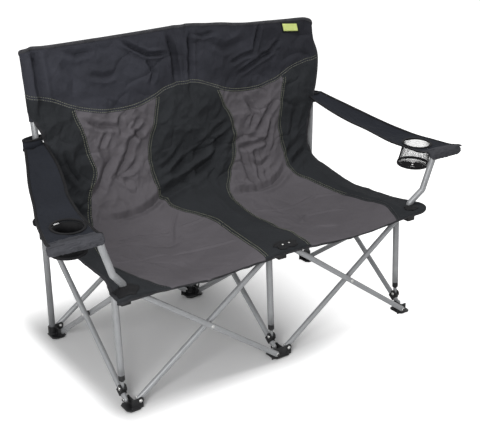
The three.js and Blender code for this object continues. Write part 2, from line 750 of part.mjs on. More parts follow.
// A tube of cloth round the upper part of a pole, closed at the top.
function poleSleeve({ name, x }) {
  const y = backY + poleTopBack;
  const above = box(x - 60, x + 60, backY - 60, backY + 120, sleeveBottom, 1000);
  const cap = cylinderAlongZ(sleeveRadius - 1, poleTopZ + 1, poleTopZ + 5, x, y, sleeveSides);
  const skin = sweep(poleAxis(x), sleeveRadius).intersect(above);
  const rim = cylinderAlongZ(sleeveRadius - 0.6, poleTopZ - 6, poleTopZ + 4, x, y, sleeveSides);
  const room = sweep(poleAxis(x), postRadius + touchGap);
  return mesh(`pole_sleeve_${name}`, geometryOf(joined([skin, rim, cap]).subtract(room)), clothFinish());
}

// A bare patch laid on the front of the back cloth near its corner.
function tag() {
  const gap = clothThickness / 2 + tagThickness / 2 + tagLift;
  const lifted = (u, v) => {
    const place = backPoint(THREE.MathUtils.lerp(tagFrom, tagTo, (u + 1) / 2), v);
    place.y -= gap;
    return place;
  };
  const patch = sheet(lifted, 1, 1, tagLow, tagHigh, tagThickness);
  return mesh('corner_tag', geometryOf(patch), finish(lime, 0.8, 0));
}

// Assembly

const chair = new THREE.Group();
for (const column of columns) {
  chair.add(frontFoot(column), rearFoot(column), hub(column), slider(column), pole(column));
  chair.add(lowerPost(column), postPlug(column), clevis(column), poleSleeve(column));
  chair.add(...sideBars(column));
}
chair.add(...crossBars('front', frontPlateY), ...crossBars('rear', backY), ...crossingRivets());
for (const side of armSides) {
  chair.add(armPost(side), arm(side), cup(side));
}
chair.add(seatFront(), seatRear(), backCloth(), tag());

export default chair;
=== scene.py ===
"""Looks for the folding camping loveseat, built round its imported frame. Metres, in the frame's own axes."""
import math

import bpy
import numpy as np
from mathutils import Matrix, Vector


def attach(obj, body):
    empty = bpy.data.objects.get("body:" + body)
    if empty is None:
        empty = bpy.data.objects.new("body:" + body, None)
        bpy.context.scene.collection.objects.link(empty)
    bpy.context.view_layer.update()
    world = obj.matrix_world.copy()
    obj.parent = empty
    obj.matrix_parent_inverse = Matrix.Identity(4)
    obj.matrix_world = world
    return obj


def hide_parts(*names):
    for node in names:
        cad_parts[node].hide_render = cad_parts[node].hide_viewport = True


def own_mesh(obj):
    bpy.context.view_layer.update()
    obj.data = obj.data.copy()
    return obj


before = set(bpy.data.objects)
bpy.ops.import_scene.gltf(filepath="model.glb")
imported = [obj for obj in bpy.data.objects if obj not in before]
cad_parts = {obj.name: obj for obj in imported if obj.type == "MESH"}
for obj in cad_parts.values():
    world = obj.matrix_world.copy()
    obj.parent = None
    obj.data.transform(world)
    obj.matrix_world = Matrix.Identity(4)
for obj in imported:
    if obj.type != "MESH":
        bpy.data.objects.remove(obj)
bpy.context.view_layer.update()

# Places in the frame

SPACING = 0.496

# A column has its x, the way in which its second side bar stands off it, and the ways to its bays
COLUMNS = {"left": (-SPACING, 1, (1,)), "centre": (0.0, 1, (-1, 1)), "right": (SPACING, -1, (-1,))}
BAYS = {"left": -SPACING / 2, "right": SPACING / 2}
REAR_BODY = {"left": "foot_rear_left", "centre": "frame", "right": "foot_rear_right"}
FRONT_Y, BACK_Y = -0.25, 0.25
FRONT_PLATE_Y = -0.2602
PLATES = {"front": FRONT_PLATE_Y, "rear": BACK_Y}
LOW_Z, HIGH_Z = 0.025, 0.349
HUB_Z = 0.3305

# How far a row's bars lie off their plates, and how far apart a column's two side bars lie
PLANE, SIDE_OFFSET = 0.0102, 0.0194

# Pins and middles of the side bars and pins of the front posts, as (y, z)
SIDE_LOW, SIDE_MIDDLE, SIDE_HIGH = (-0.224, 0.020), (-0.002, 0.182), (0.220, 0.344)
POST_LOW, POST_TOP = (-0.209635, 0.047814), (-0.192, 0.335)

# Tubes: a bar's half length is from its middle to its pin and on past it
BAR_R, POST_R = 0.008, 0.0095
BAR_RUN, BAR_CLIMB = 0.222, 0.162
BAR_HALF = 0.27483 + 0.009
POST_START, POST_LENGTH = 0.0394, 0.2573
ARM_POST_Y = -0.247
POLE_FOOT_Z, BEND_Z = 0.0075, 0.64
POLE_RAKE = 0.037 / 0.2335
POLE_TOPS = {"left": 0.8675, "centre": 0.8735, "right": 0.8500}

# The photograph's camera
CAMERA_AT = (-1.4648, -2.1888, 1.4236)
AZIMUTH, ELEVATION, ROLL = (math.radians(angle) for angle in (-34.376, 22.045, -0.226))
SENSOR_MM, FOCAL_PIXELS, WIDTH_PIXELS = 36, 943.54, 480


def make_camera():
    back = Vector((math.sin(AZIMUTH) * math.cos(ELEVATION), -math.cos(AZIMUTH) * math.cos(ELEVATION),
                   math.sin(ELEVATION)))
    right = (-back).cross(Vector((0, 0, 1))).normalized()
    up = back.cross(right)
    x_axis = right * math.cos(ROLL) + up * math.sin(ROLL)
    y_axis = up * math.cos(ROLL) - right * math.sin(ROLL)
    data = bpy.data.cameras.new("camera")
    data.sensor_width = SENSOR_MM
    data.lens = SENSOR_MM * FOCAL_PIXELS / WIDTH_PIXELS
    cam = bpy.data.objects.new("camera", data)
    bpy.context.scene.collection.objects.link(cam)
    turn = Matrix((x_axis, y_axis, back)).transposed().to_4x4()
    cam.matrix_world = Matrix.Translation(CAMERA_AT) @ turn
    bpy.context.scene.camera = cam


make_camera()


# Materials

def new_material(name, colour, roughness, metallic=0.0, specular=0.5, space="Object"):
    """A material, its nodes, its shader and the coordinates, in metres, that its textures run on."""
    mat = bpy.data.materials.new(name)
    mat.use_nodes = True
    tree = mat.node_tree
    shader = tree.nodes["Principled BSDF"]
    shader.inputs["Base Color"].default_value = (*colour, 1)
    for socket, value in (("Roughness", roughness), ("Metallic", metallic), ("Specular IOR Level", specular)):
        shader.inputs[socket].default_value = value
    return mat, tree, shader, tree.nodes.new("ShaderNodeTexCoord").outputs[space]


def maths(tree, operation, *values):
    node = tree.nodes.new("ShaderNodeMath")
    node.operation = operation
    for socket, value in zip(node.inputs, values):
        if isinstance(value, (int, float)):
            socket.default_value = value
        else:
            tree.links.new(value, socket)
    return node.outputs["Value"]


def mapped(tree, value, low, high, start=0.0, end=1.0, kind="LINEAR"):
    """A value's run from start to end, carried over to low to high."""
    node = tree.nodes.new("ShaderNodeMapRange")
    node.interpolation_type = kind
    for socket, setting in (("From Min", start), ("From Max", end), ("To Min", low), ("To Max", high)):
        node.inputs[socket].default_value = setting
    tree.links.new(value, node.inputs["Value"])
    return node.outputs["Result"]


def texture(tree, coords, scale, kind="Noise", **settings):
    node = tree.nodes.new("ShaderNodeTex" + kind)
    node.inputs["Scale"].default_value = scale
    for key, value in settings.items():
        if key in node.inputs:
            node.inputs[key].default_value = value
        else:
            setattr(node, key, value)
    tree.links.new(coords, node.inputs["Vector"])
    return node.outputs["Fac"]


def vary_colour(tree, shader, factor, dark, light, start=0.3):
    """Runs the base colour between two tones by a 0 to 1 factor."""
    ramp = tree.nodes.new("ShaderNodeValToRGB")
    for element, position, tone in zip(ramp.color_ramp.elements, (start, 0.7), (dark, light)):
        element.position = position
        element.color = (*tone, 1)
    tree.links.new(factor, ramp.inputs["Fac"])
    tree.links.new(ramp.outputs["Color"], shader.inputs["Base Color"])


def bump(tree, height, strength, distance, under=None):
    node = tree.nodes.new("ShaderNodeBump")
    node.inputs["Strength"].default_value = strength
    node.inputs["Distance"].default_value = distance
    tree.links.new(height, node.inputs["Height"])
    if under is not None:
        tree.links.new(under, node.inputs["Normal"])
    return node.outputs["Normal"]


def tones(colour, spread):
    return [tuple(c * (1 + side * spread) for c in colour) for side in (-1, 1)]


def cloth_material(name, colour, spread=0.12, roughness=0.88, crumple=0.8, falloff=0.0):
    """Coated plain weave over creases of a few centimetres; its last argument paints light onto it, lighter
    towards the left.
    """
    mat, tree, shader, coords = new_material(name, colour, roughness, specular=0.12, space="UV")
    blotch_and_painted_light = texture(tree, coords, 9, Detail=5)
    if falloff:
        place = tree.nodes.new("ShaderNodeSeparateXYZ")
        tree.links.new(coords, place.inputs["Vector"])
        # Painted light: the tone grows lighter towards the left by the given amount
        blotch_and_painted_light = maths(tree, "MULTIPLY_ADD", place.outputs["X"], -falloff, blotch_and_painted_light)
    vary_colour(tree, shader, blotch_and_painted_light, *tones(colour, spread))
    threads = [texture(tree, coords, 262, "Wave", bands_direction=way) for way in "XY"]
    crease = texture(tree, coords, 26, Detail=4, Roughness=0.55, Distortion=0.6)
    creased = bump(tree, crease, crumple, 0.0045)
    woven = bump(tree, maths(tree, "ADD", *threads), 0.35, 0.0003, creased)
    tree.links.new(woven, shader.inputs["Normal"])
    return mat


def webbing_material(name, colour):
    """Ribbed tape, thread or yarn."""
    mat, tree, shader, coords = new_material(name, colour, 0.7, specular=0.15)
    vary_colour(tree, shader, texture(tree, coords, 60, Detail=3), *tones(colour, 0.25))
    ribbed = bump(tree, texture(tree, coords, 900, Detail=1), 0.5, 0.0006)
    tree.links.new(ribbed, shader.inputs["Normal"])
    return mat


def tube_material():
    """Silver-grey powder coat with a faint orange-peel skin and rubbed places."""
    mat, tree, shader, coords = new_material("tube_coat", (0.33, 0.34, 0.35), 0.36, 0.2)
    rubbed = texture(tree, coords, 14, Detail=6, Roughness=0.7)
    vary_colour(tree, shader, rubbed, (0.285, 0.292, 0.302), (0.35, 0.357, 0.367))
    skin = bump(tree, texture(tree, coords, 700, Detail=2), 0.12, 0.0004)
    tree.links.new(skin, shader.inputs["Normal"])
    tree.links.new(mapped(tree, rubbed, 0.3, 0.46), shader.inputs["Roughness"])
    return mat


def plastic_material():
    """Black moulded nylon, finely grained, with greyer scuffs."""
    mat, tree, shader, coords = new_material("moulded_nylon", (0.012, 0.012, 0.013), 0.42, specular=0.3)
    scuff = texture(tree, coords, 45, Detail=7, Roughness=0.7)
    vary_colour(tree, shader, scuff, (0.009, 0.009, 0.010), (0.03, 0.03, 0.031), start=0.45)
    grained = bump(tree, texture(tree, coords, 1400, Detail=2), 0.25, 0.0003)
    tree.links.new(grained, shader.inputs["Normal"])
    return mat


def steel_material():
    mat, tree, shader, coords = new_material("zinc_steel", (0.62, 0.62, 0.61), 0.3, 1.0)
    vary_colour(tree, shader, texture(tree, coords, 300, Detail=4), (0.5, 0.5, 0.49), (0.72, 0.72, 0.71))
    return mat


TUBE = tube_material()
NYLON = plastic_material()
STEEL = steel_material()
DARK = cloth_material("charcoal_weave", (0.026, 0.028, 0.031))
# The head cloth, on the head panel and the sleeves, has painted light that makes it lighter towards the left
HEAD = cloth_material("head_weave", (0.031, 0.032, 0.040), 0.26, roughness=0.75, crumple=0.6, falloff=0.45)
GREY = cloth_material("grey_weave", (0.113, 0.105, 0.115), spread=0.07, crumple=0.7)
ARM = cloth_material("arm_weave", (0.020, 0.022, 0.028), crumple=0.4)
# A lighter copy of the arm's own cloth: its lightness is painted highlight on the crumpled roll and on
# streaks along the arm's front
ROLL = cloth_material("arm_weave_painted_highlight", (0.063, 0.064, 0.072), spread=0.4, crumple=1.0)
HEM = webbing_material("hem_tape", (0.030, 0.030, 0.033))
TOP_HEM = webbing_material("top_tape", (0.050, 0.050, 0.055))
BINDING = webbing_material("black_binding", (0.011, 0.011, 0.012))
THREAD = webbing_material("seam_thread", (0.27, 0.28, 0.21))
DARK_THREAD = webbing_material("dark_thread", (0.075, 0.075, 0.075))
NET = webbing_material("net_yarn", (0.02, 0.02, 0.021))
LIME = cloth_material("lime_weave", (0.72, 0.82, 0.28), spread=0.06, crumple=0.1)


# Meshes

def new_object(name, verts, faces, materials, face_materials=None, uvs=None, smooth=True):
    data = bpy.data.meshes.new(name)
    data.from_pydata([tuple(v) for v in verts], [], [tuple(f) for f in faces])
    for mat in materials:
        data.materials.append(mat)
    if face_materials is not None:
        data.polygons.foreach_set("material_index", np.asarray(face_materials, dtype=np.int32))
    if uvs is not None:
        layer = data.uv_layers.new(name="metres")
        loops = np.empty(len(data.loops), dtype=np.int32)
        data.loops.foreach_get("vertex_index", loops)
        layer.data.foreach_set("uv", np.asarray(uvs, dtype=np.float32)[loops].ravel())
    data.polygons.foreach_set("use_smooth", np.full(len(data.polygons), smooth))
    data.validate()
    data.update()
    obj = bpy.data.objects.new(name, data)
    bpy.context.scene.collection.objects.link(obj)
    return obj


def placed(obj, slot, body, *nodes):
    """A piece on its body, in place of the CAD nodes that it stands for; slot is not used."""
    if nodes:
        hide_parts(*nodes)
    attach(obj, body)
    return obj


def joined(name, parts, materials, slot, body, *nodes):
    """A piece made of several (verts, faces, material index)."""
    verts, faces, mats = [], [], []
    for v, f, m in parts:
        start = len(verts)
        verts.extend(v)
        faces.extend(tuple(i + start for i in face) for face in f)
        mats.extend([m] * len(f))
    return placed(new_object(name, verts, faces, materials, mats), slot, body, *nodes)


def baked(obj):
    """The object with its modifiers applied."""
    graph = bpy.context.evaluated_depsgraph_get()
    data = bpy.data.meshes.new_from_object(obj.evaluated_get(graph))
    obj.modifiers.clear()
    obj.data = data
    return obj


def thickened(obj, thickness):
    thick = obj.modifiers.new("thickness", "SOLIDIFY")
    thick.thickness = thickness
    thick.offset = -1
    return baked(obj)


def turns(count):
    """The angles of count even steps round a circle."""
    return [2 * math.pi * i / count for i in range(count)]


def circle(count):
    return [(math.cos(turn), math.sin(turn)) for turn in turns(count)]


def ring_loft(rings, looped=False):
    """Joins rings of equal size into a tube, whose ends are closed with fans, or into a closed loop."""
    count = len(rings[0])
    steps = [(i, (i + 1) % count) for i in range(count)]
    verts = [p for ring in rings for p in ring]
    faces = []
    for k in range(len(rings) - (0 if looped else 1)):
        near, far = k * count, (k + 1) % len(rings) * count
        faces += [(near + i, near + j, far + j, far + i) for i, j in steps]
    if not looped:
        for k in (0, len(rings) - 1):
            verts.append(sum((Vector(p) for p in rings[k]), Vector()) / count)
            fan = [(k * count + i, k * count + j, len(verts) - 1) for i, j in steps]
            faces += fan if k else [(b, a, tip) for a, b, tip in fan]
    return verts, faces


def swept(points, sizes, up=(0, 0, 1), sides=20):
    """A tube along points; sizes gives its half widths along up and across at each point."""
    pts = [Vector(p) for p in points]
    rings, side = [], Vector(up)
    for i, (p, (high, wide)) in enumerate(zip(pts, sizes)):
        tangent = (pts[min(i + 1, len(pts) - 1)] - pts[max(i - 1, 0)]).normalized()
        side = (side - tangent * side.dot(tangent)).normalized()
        across = tangent.cross(side)
        rings.append([p + side * (high * c) + across * (wide * s) for c, s in circle(sides)])
    return ring_loft(rings)


def bent(points, radius, steps):
    """A polyline with its inner corners rounded."""
    pts = [Vector(p) for p in points]
    out = [pts[0]]
    for i in range(1, len(pts) - 1):
        before, after = (pts[i - 1] - pts[i]).normalized(), (pts[i + 1] - pts[i]).normalized()
        reach = radius / math.tan(math.acos(max(-1, min(1, before.dot(after)))) / 2)
        start, end = pts[i] + before * reach, pts[i] + after * reach
        for k in range(steps + 1):
            w = k / steps
            out.append(start * (1 - w) ** 2 + pts[i] * (2 * w * (1 - w)) + end * w ** 2)
    out.append(pts[-1])
    return out


# Tubes

# The end of a bar as (distance from its end, share of its full radius)
END_ROUND = [(0.0, 0.03), (0.0006, 0.4), (0.0018, 0.66), (0.0038, 0.88), (0.0065, 0.98), (0.009, 1.0)]
END_FLAT = [(0.018, 1.0), (0.026, 1.0), (0.04, 1.0)]
PRESSED, PRESSED_END, PRESSED_RUN = 0.14, 0.016, 0.02
POLE_BEND_R, ARM_BEND_R = 0.13, 0.013


def tube(name, node, mesh, body):
    placed(new_object(name, *mesh, [TUBE]), "tube_grey", body, node)


def scissor_bar(node, middle, direction, pin_axis, body):
    """A tube bar, pressed a little flat round the pins at its ends."""
    middle, direction = Vector(middle), Vector(direction).normalized()
    ends = [(BAR_HALF - d, share) for d, share in END_ROUND + END_FLAT]
    stations = [(-t, share) for t, share in ends] + [(t, 1.0) for t in (-0.02, 0.0, 0.02)] + ends[::-1]
    sizes = []
    for t, share in stations:
        pressed = PRESSED * (1 - min(max((BAR_HALF - abs(t) - PRESSED_END) / PRESSED_RUN, 0), 1))
        sizes.append((BAR_R * (1 - pressed) * share, BAR_R * (1 + pressed * 0.3) * share))
    tube(node + "_tube", node, swept([middle + direction * t for t, _ in stations], sizes, up=pin_axis), body)


def bars():
    for row, plate_y in PLATES.items():
        for bay, x in BAYS.items():
            for lean, side in (("up_right", 1), ("up_left", -1)):
                middle = (x, plate_y + side * PLANE, (LOW_Z + HIGH_Z) / 2)
                scissor_bar(f"{row}_{bay}_bar_{lean}", middle, (side * BAR_RUN, 0, BAR_CLIMB), (0, 1, 0),
                            f"{row}_{bay}_{lean}")
    for name, (x, inward, _) in COLUMNS.items():
        for lean, side in (("up_back", 1), ("up_front", -1)):
            middle = (x if side > 0 else x + inward * SIDE_OFFSET, *SIDE_MIDDLE)
            scissor_bar(f"side_{name}_bar_{lean}", middle, (0, side * BAR_RUN, BAR_CLIMB), (1, 0, 0),
                        f"side_{name}_{lean}")


def pole_y(z):
    """Depth of a pole at a height; it leans back above its bend."""
    return BACK_Y + POLE_RAKE * max(z - BEND_Z, 0)


def pole_line(x, top):
    return bent([(x, BACK_Y, POLE_FOOT_Z), (x, BACK_Y, BEND_Z), (x, pole_y(top), top)], POLE_BEND_R, 10)


def arm_line(out):
    """The arm post's centre line, from the hub up and then outwards under the arm's front."""
    offsets = [(0, 0, HUB_Z), (0, 0, 0.372), (0.035, -0.016, 0.414), (0.06, -0.019, 0.49),
               (0.066, -0.021, 0.511), (0.072, -0.021, 0.519), (0.186, -0.005, 0.511)]
    return bent([(out * (SPACING + dx), ARM_POST_Y + dy, z) for dx, dy, z in offsets], ARM_BEND_R, 6)


def post_line(x):
    run = Vector((0, POST_TOP[0] - POST_LOW[0], POST_TOP[1] - POST_LOW[1])).normalized()
    return [Vector((x, *POST_LOW)) + run * (POST_START + POST_LENGTH * k / 6) for k in range(7)]


def uprights():
    for name, (x, inward, bays) in COLUMNS.items():
        lines = [(f"pole_{name}_tube", f"back_pole_{name}", pole_line(x, POLE_TOPS[name]), REAR_BODY[name]),
                 (f"post_{name}_tube", f"front_post_{name}", post_line(x), f"front_post_{name}")]
        if len(bays) == 1:
            lines.append((f"arm_post_{name}_tube", f"arm_post_{name}", arm_line(-inward), f"hub_{name}"))
        for tube_name, node, line, body in lines:
            mesh = swept(line, [(POST_R, POST_R)] * len(line), up=(1, 0, 0.01), sides=24)
            tube(tube_name, node, mesh, body)


# Rivets

# How far the pins stand from a column along a row, how far heads stand off the middles of a bar, a plate,
# an eye, a hub and a clevis, and the radii of a crossing's pin and spacer
PIN_X = 0.026
HEAD_OUT = BAR_R * 0.86 + 0.0002
PLATE_FACE, EYE_FACE, HUB_FACE, CLEVIS_FACE = 0.0022, 0.0124, 0.0102, 0.0096
PIN_R, SPACER_R = 0.0024, 0.0072

# A head's profile as (share of its radius, share of its height)
DOME = [(1.0, 0.0), (1.0, 0.25), (0.86, 0.62), (0.6, 0.88), (0.3, 0.98)]


def dome(centre, axis, radius=0.0052, height=0.0026):
    """A domed rivet head standing on a face, axis pointing out of the face."""
    axis = Vector(axis).normalized()
    side = axis.orthogonal().normalized()
    other = axis.cross(side)
    rings = []
    for share, rise in DOME:
        base = Vector(centre) + axis * (height * rise)
        rings.append([base + (side * c + other * s) * (radius * share) for c, s in circle(14)])
    return ring_loft(rings)


def plate_heads(x, plate_y, z, bays, at_top):
    """Places and axes of the heads on both sides of a plate, one pair for each bay."""
    places = []
    for bay in bays:
        face = -bay if at_top else bay
        for side, out in ((face, PLANE + HEAD_OUT), (-face, PLATE_FACE)):
            places.append(((x + bay * PIN_X, plate_y + side * out, z), (0, side, 0)))
    return places


def rivets():
    """Steel rivet heads on feet, hubs, sliders and clevises, one piece for each of them."""
    (low_y, low_z), (high_y, high_z) = SIDE_LOW, SIDE_HIGH
    for name, (x, inward, bays) in COLUMNS.items():
        inner, outer = (inward, 0, 0), (-inward, 0, 0)
        side_bar = x + inward * (SIDE_OFFSET + HEAD_OUT)
        near = x - inward * HEAD_OUT
        groups = [
            ("foot_front", f"foot_front_{name}", plate_heads(x, FRONT_PLATE_Y, LOW_Z, bays, False)
             + [((near, low_y, low_z), outer), ((x + inward * EYE_FACE, low_y, low_z), inner)]),
            ("foot_rear", REAR_BODY[name], plate_heads(x, BACK_Y, LOW_Z, bays, False)
             + [((side_bar, high_y, low_z), inner)]),
            ("hub", f"hub_{name}", plate_heads(x, FRONT_PLATE_Y, HIGH_Z, bays, True)
             + [((side_bar, low_y, high_z), inner)]
             + [((x + side * HUB_FACE, *POST_TOP), (side, 0, 0)) for side in (-1, 1)]),
            ("slider", f"slider_{name}", plate_heads(x, BACK_Y, HIGH_Z, bays, True)
             + [((near, high_y, high_z), outer)]),
            ("clevis", f"clevis_{name}",
             [((x + side * CLEVIS_FACE, *POST_LOW), (side, 0, 0)) for side in (-1, 1)]),
        ]
        for kind, body, places in groups:
            domes = [(*dome(centre, axis), 0) for centre, axis in places]
            joined(f"{kind}_{name}_rivets", domes, [STEEL], "rivet_steel", body)


def crossing(node, centre, axis, half_gap, body):
    """The rivet through two crossed tubes, with its two domes and the spacer between the tubes."""
    centre, axis = Vector(centre), Vector(axis)
    reach = half_gap + 2 * BAR_R
    parts = [(*dome(centre + axis * reach, axis), 0), (*dome(centre - axis * reach, -axis), 0)]
    for half, radius, sides, material in ((reach, PIN_R, 10, 0), (half_gap * 0.86, SPACER_R, 18, 1)):
        line = [centre - axis * half, centre + axis * half]
        parts.append((*swept(line, [(radius, radius)] * 2, sides=sides), material))
    joined(node + "_steel", parts, [STEEL, NYLON], "rivet_steel", body, node)


def crossings():
    for row, plate_y in PLATES.items():
        for bay, far in (("left", "up_right"), ("right", "up_left")):
            centre = (BAYS[bay], plate_y, (LOW_Z + HIGH_Z) / 2)
            crossing(f"{row}_{bay}_crossing_rivet", centre, (0, 1, 0), PLANE - BAR_R, f"{row}_{bay}_{far}")
    for name, (x, inward, _) in COLUMNS.items():
        centre = (x + inward * SIDE_OFFSET / 2, *SIDE_MIDDLE)
        crossing(f"side_{name}_crossing_rivet", centre, (1, 0, 0), SIDE_OFFSET / 2 - BAR_R,
                 f"side_{name}_up_front")


# Moulded joints

BARE_METAL_Z = POST_LOW[1] + 0.0205


def moulded(node, body, grey_below=None):
    """A CAD joint with its edges rounded as a moulding's are; what lies below grey_below is bare metal."""
    obj = bpy.data.objects.new(node + "_moulding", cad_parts[node].data.copy())
    bpy.context.scene.collection.objects.link(obj)
    remesh = obj.modifiers.new("remesh", "REMESH")
    remesh.mode = "VOXEL"
    remesh.voxel_size = 0.0012
    remesh.use_smooth_shade = True
    soften = obj.modifiers.new("soften", "SMOOTH")
    soften.factor = 0.5
    soften.iterations = 3
    baked(obj)
    obj.data.materials.clear()
    obj.data.materials.append(NYLON)
    if grey_below is not None:
        obj.data.materials.append(TUBE)
        for face in obj.data.polygons:
            face.material_index = int(face.center.z < grey_below)
    placed(obj, "joint_plastic", body, node)


def joints():
    for name in COLUMNS:
        moulded(f"foot_front_{name}", f"foot_front_{name}")
        moulded(f"foot_rear_{name}", REAR_BODY[name])
        moulded(f"hub_{name}", f"hub_{name}")
        moulded(f"slider_{name}", f"slider_{name}")
        moulded(f"clevis_{name}", f"clevis_{name}")
        moulded(f"post_plug_{name}", f"front_post_{name}", BARE_METAL_Z)


bars()
uprights()
rivets()
crossings()
joints()


# Sling

# A place on the sling is (x, s): x across the chair, s the way up the cloth from front hem to top edge.
# Its lines over a column and up the middle of a bay are given as (depth behind the front row, height).
COLUMN_LINE = [(-.043, .352), (-.037, .3655), (.06, .3665), (.17, .358), (.29, .356), (.395, .380),
               (.462, .418), (.481, .51), (.483, .63), (.499, .75), (.518, .876)]
BAY_LINE = [(-.040, .335), (-.034, .341), (.06, .328), (.17, .315), (.29, .317), (.385, .347), (.450, .402),
            (.486, .50), (.497, .63), (.507, .75), (.521, .876)]
TOP_S, CREASE_S, SPLIT_S = 0.998, 0.289, 0.540

# Pairs of s between which one part of the sling gives way to the next, and its wrap round a pole begins
SEAT_ENDS, BACK_STARTS, BACK_ENDS, HEAD_STARTS = (0.42, 0.50), (0.44, 0.52), (0.80, 0.86), (0.83, 0.88)
HUB_ENDS = (0.08, 0.16)
LEFT_WRAP, RIGHT_WRAP = (0.70, 0.78), (0.845, 0.965)
WRAP_R, WRAP_WIDE, WRAP_DEEP = 0.0145, 0.0135, 0.0155
CLOTH_THICK = 0.0014


def spline(points, count):
    """A smooth curve through points, evenly stepped in their own count."""
    pts = np.array(points)
    last = len(pts) - 1
    t = np.linspace(0, last, count)
    i = np.minimum(t.astype(int), last - 1)
    w = (t - i)[:, None]
    p0, p1, p2, p3 = pts[np.maximum(i - 1, 0)], pts[i], pts[i + 1], pts[np.minimum(i + 2, last)]
    return 0.5 * (2 * p1 + (p2 - p0) * w + (2 * p0 - 5 * p1 + 4 * p2 - p3) * w ** 2
                  + (3 * p1 - p0 - 3 * p2 + p3) * w ** 3)


def distances(points):
    """How far along a polyline each of its points is."""
    return np.concatenate([[0], np.cumsum(np.linalg.norm(np.diff(points, axis=0), axis=1))])


def unit(vectors):
    return vectors / np.linalg.norm(vectors, axis=-1, keepdims=True)


COLUMN_CURVE, BAY_CURVE = spline(COLUMN_LINE, 601), spline(BAY_LINE, 601)
ARC = distances(COLUMN_CURVE)


def along_curve(curve, s):
    """Depth and height at s, run on straight past either end."""
    inside, before, past = np.clip(s, 0, ARC[-1]), np.minimum(s, 0), np.maximum(s - ARC[-1], 0)
    start, end = unit(curve[12] - curve[0]), unit(curve[-1] - curve[-20])
    y, z = (np.interp(inside, ARC, curve[:, k]) + start[k] * before + end[k] * past for k in (0, 1))
    return y + FRONT_Y, z


def steps_between(value, low, high):
    """0 up to low and 1 from high on, with a smooth step between them."""
    w = np.clip((value - low) / (high - low), 0, 1)
    return w * w * (3 - 2 * w)


def from_column(x):
    """Distance to the nearest column."""
    return np.abs((np.abs(x) + SPACING / 2) % SPACING - SPACING / 2)


def cell(x, y):
    """The whole-number corner below each place, and how far beyond it the place is."""
    low_x, low_y = np.floor(x), np.floor(y)
    return low_x.astype(np.int64), low_y.astype(np.int64), x - low_x, y - low_y


def hashed(ix, iy, seed):
    """An angle that depends only on a whole-number place and a seed."""
    h = (ix * 374761393 + iy * 668265263 + seed * 974634777) & 0xFFFFFFFF
    h = ((h ^ (h >> 13)) * 1274126177) & 0xFFFFFFFF
    return ((h ^ (h >> 16)) & 0xFFFF) / 65536 * 2 * math.pi


def ripple(x, y, seed):
    """Smooth gradient noise from about -0.7 to 0.7."""
    ix, iy, dx, dy = cell(x, y)
    u, v = dx ** 3 * (dx * (dx * 6 - 15) + 10), dy ** 3 * (dy * (dy * 6 - 15) + 10)

    def corner(a, b):
        turn = hashed(ix + a, iy + b, seed)
        return np.cos(turn) * (dx - a) + np.sin(turn) * (dy - b)

    low = corner(0, 0) * (1 - u) + corner(1, 0) * u
    high = corner(0, 1) * (1 - u) + corner(1, 1) * u
    return low * (1 - v) + high * v


def ridged(x, y, seed):
    """Sharp-crested noise, 0 in the hollows and 1 on the crests."""
    return 1 - np.minimum(np.abs(ripple(x, y, seed)) * 2.4, 1)


def crests(x, y, seed):
    """Sharp-crested noise from -0.6 to 0.4."""
    return ridged(x, y, seed) - 0.6


def facets(x, y, seed):
    """Flat three-cornered facets between random heights of -1 to 1, with a crease wherever two meet."""
    shift_x, shift_y = (0.9 * ripple(x * 0.7 + 9 * k, y * 0.7, seed + 50 + k) for k in (0, 1))
    ix, iy, dx, dy = cell(x + shift_x, y + shift_y)
    low, high = np.minimum(dx, dy), np.maximum(dx, dy)

    def height(a, b):
        return hashed(ix + a, iy + b, seed) / math.pi - 1

    between = np.where(dx > dy, height(1, 0), height(0, 1))
    return height(0, 0) * (1 - high) + height(1, 1) * low + between * (high - low)


def creases(x, y, seed):
    """Narrow lines that come and go, 1 along their middles and 0 between them."""
    present = steps_between(ripple(x * 0.45 + 5, y * 0.45, seed + 60), -0.12, 0.2)
    return ridged(x, y, seed) ** 6 * present


# Noise as layers of (kind, whether it runs slantwise, scale across, shift, scale along, seed, height in mm)
BACK_NOISE = [(crests, True, 9, 0, 15, 3, 5.0), (crests, False, 21, 0, 17, 5, 3.6),
              (crests, False, 40, 0, 33, 15, 1.4), (facets, True, 16, 0, 21, 71, 6.2),
              (facets, False, 38, 0, 34, 72, 2.2), (creases, False, 8, 0, 11, 73, -6.0),
              (creases, True, 17, 0, 14, 74, -3.0)]
HEAD_NOISE = [(ripple, False, 7, 3, 9, 7, 8.0), (crests, False, 13, 0, 11, 9, 3.6),
              (crests, False, 31, 0, 24, 17, 1.2), (facets, False, 12, 4, 13, 75, 5.5),
              (facets, False, 34, 0, 30, 76, 1.7), (creases, False, 7, 2, 8, 77, -5.0)]
SEAT_NOISE = [(ripple, False, 9, 0, 7, 11, 4.0), (ripple, False, 24, 0, 20, 13, 1.5),
              (crests, True, 17, 0, 13, 19, 1.8), (facets, False, 15, 0, 12, 78, 2.4),
              (creases, True, 9, 0, 7, 79, -2.2)]

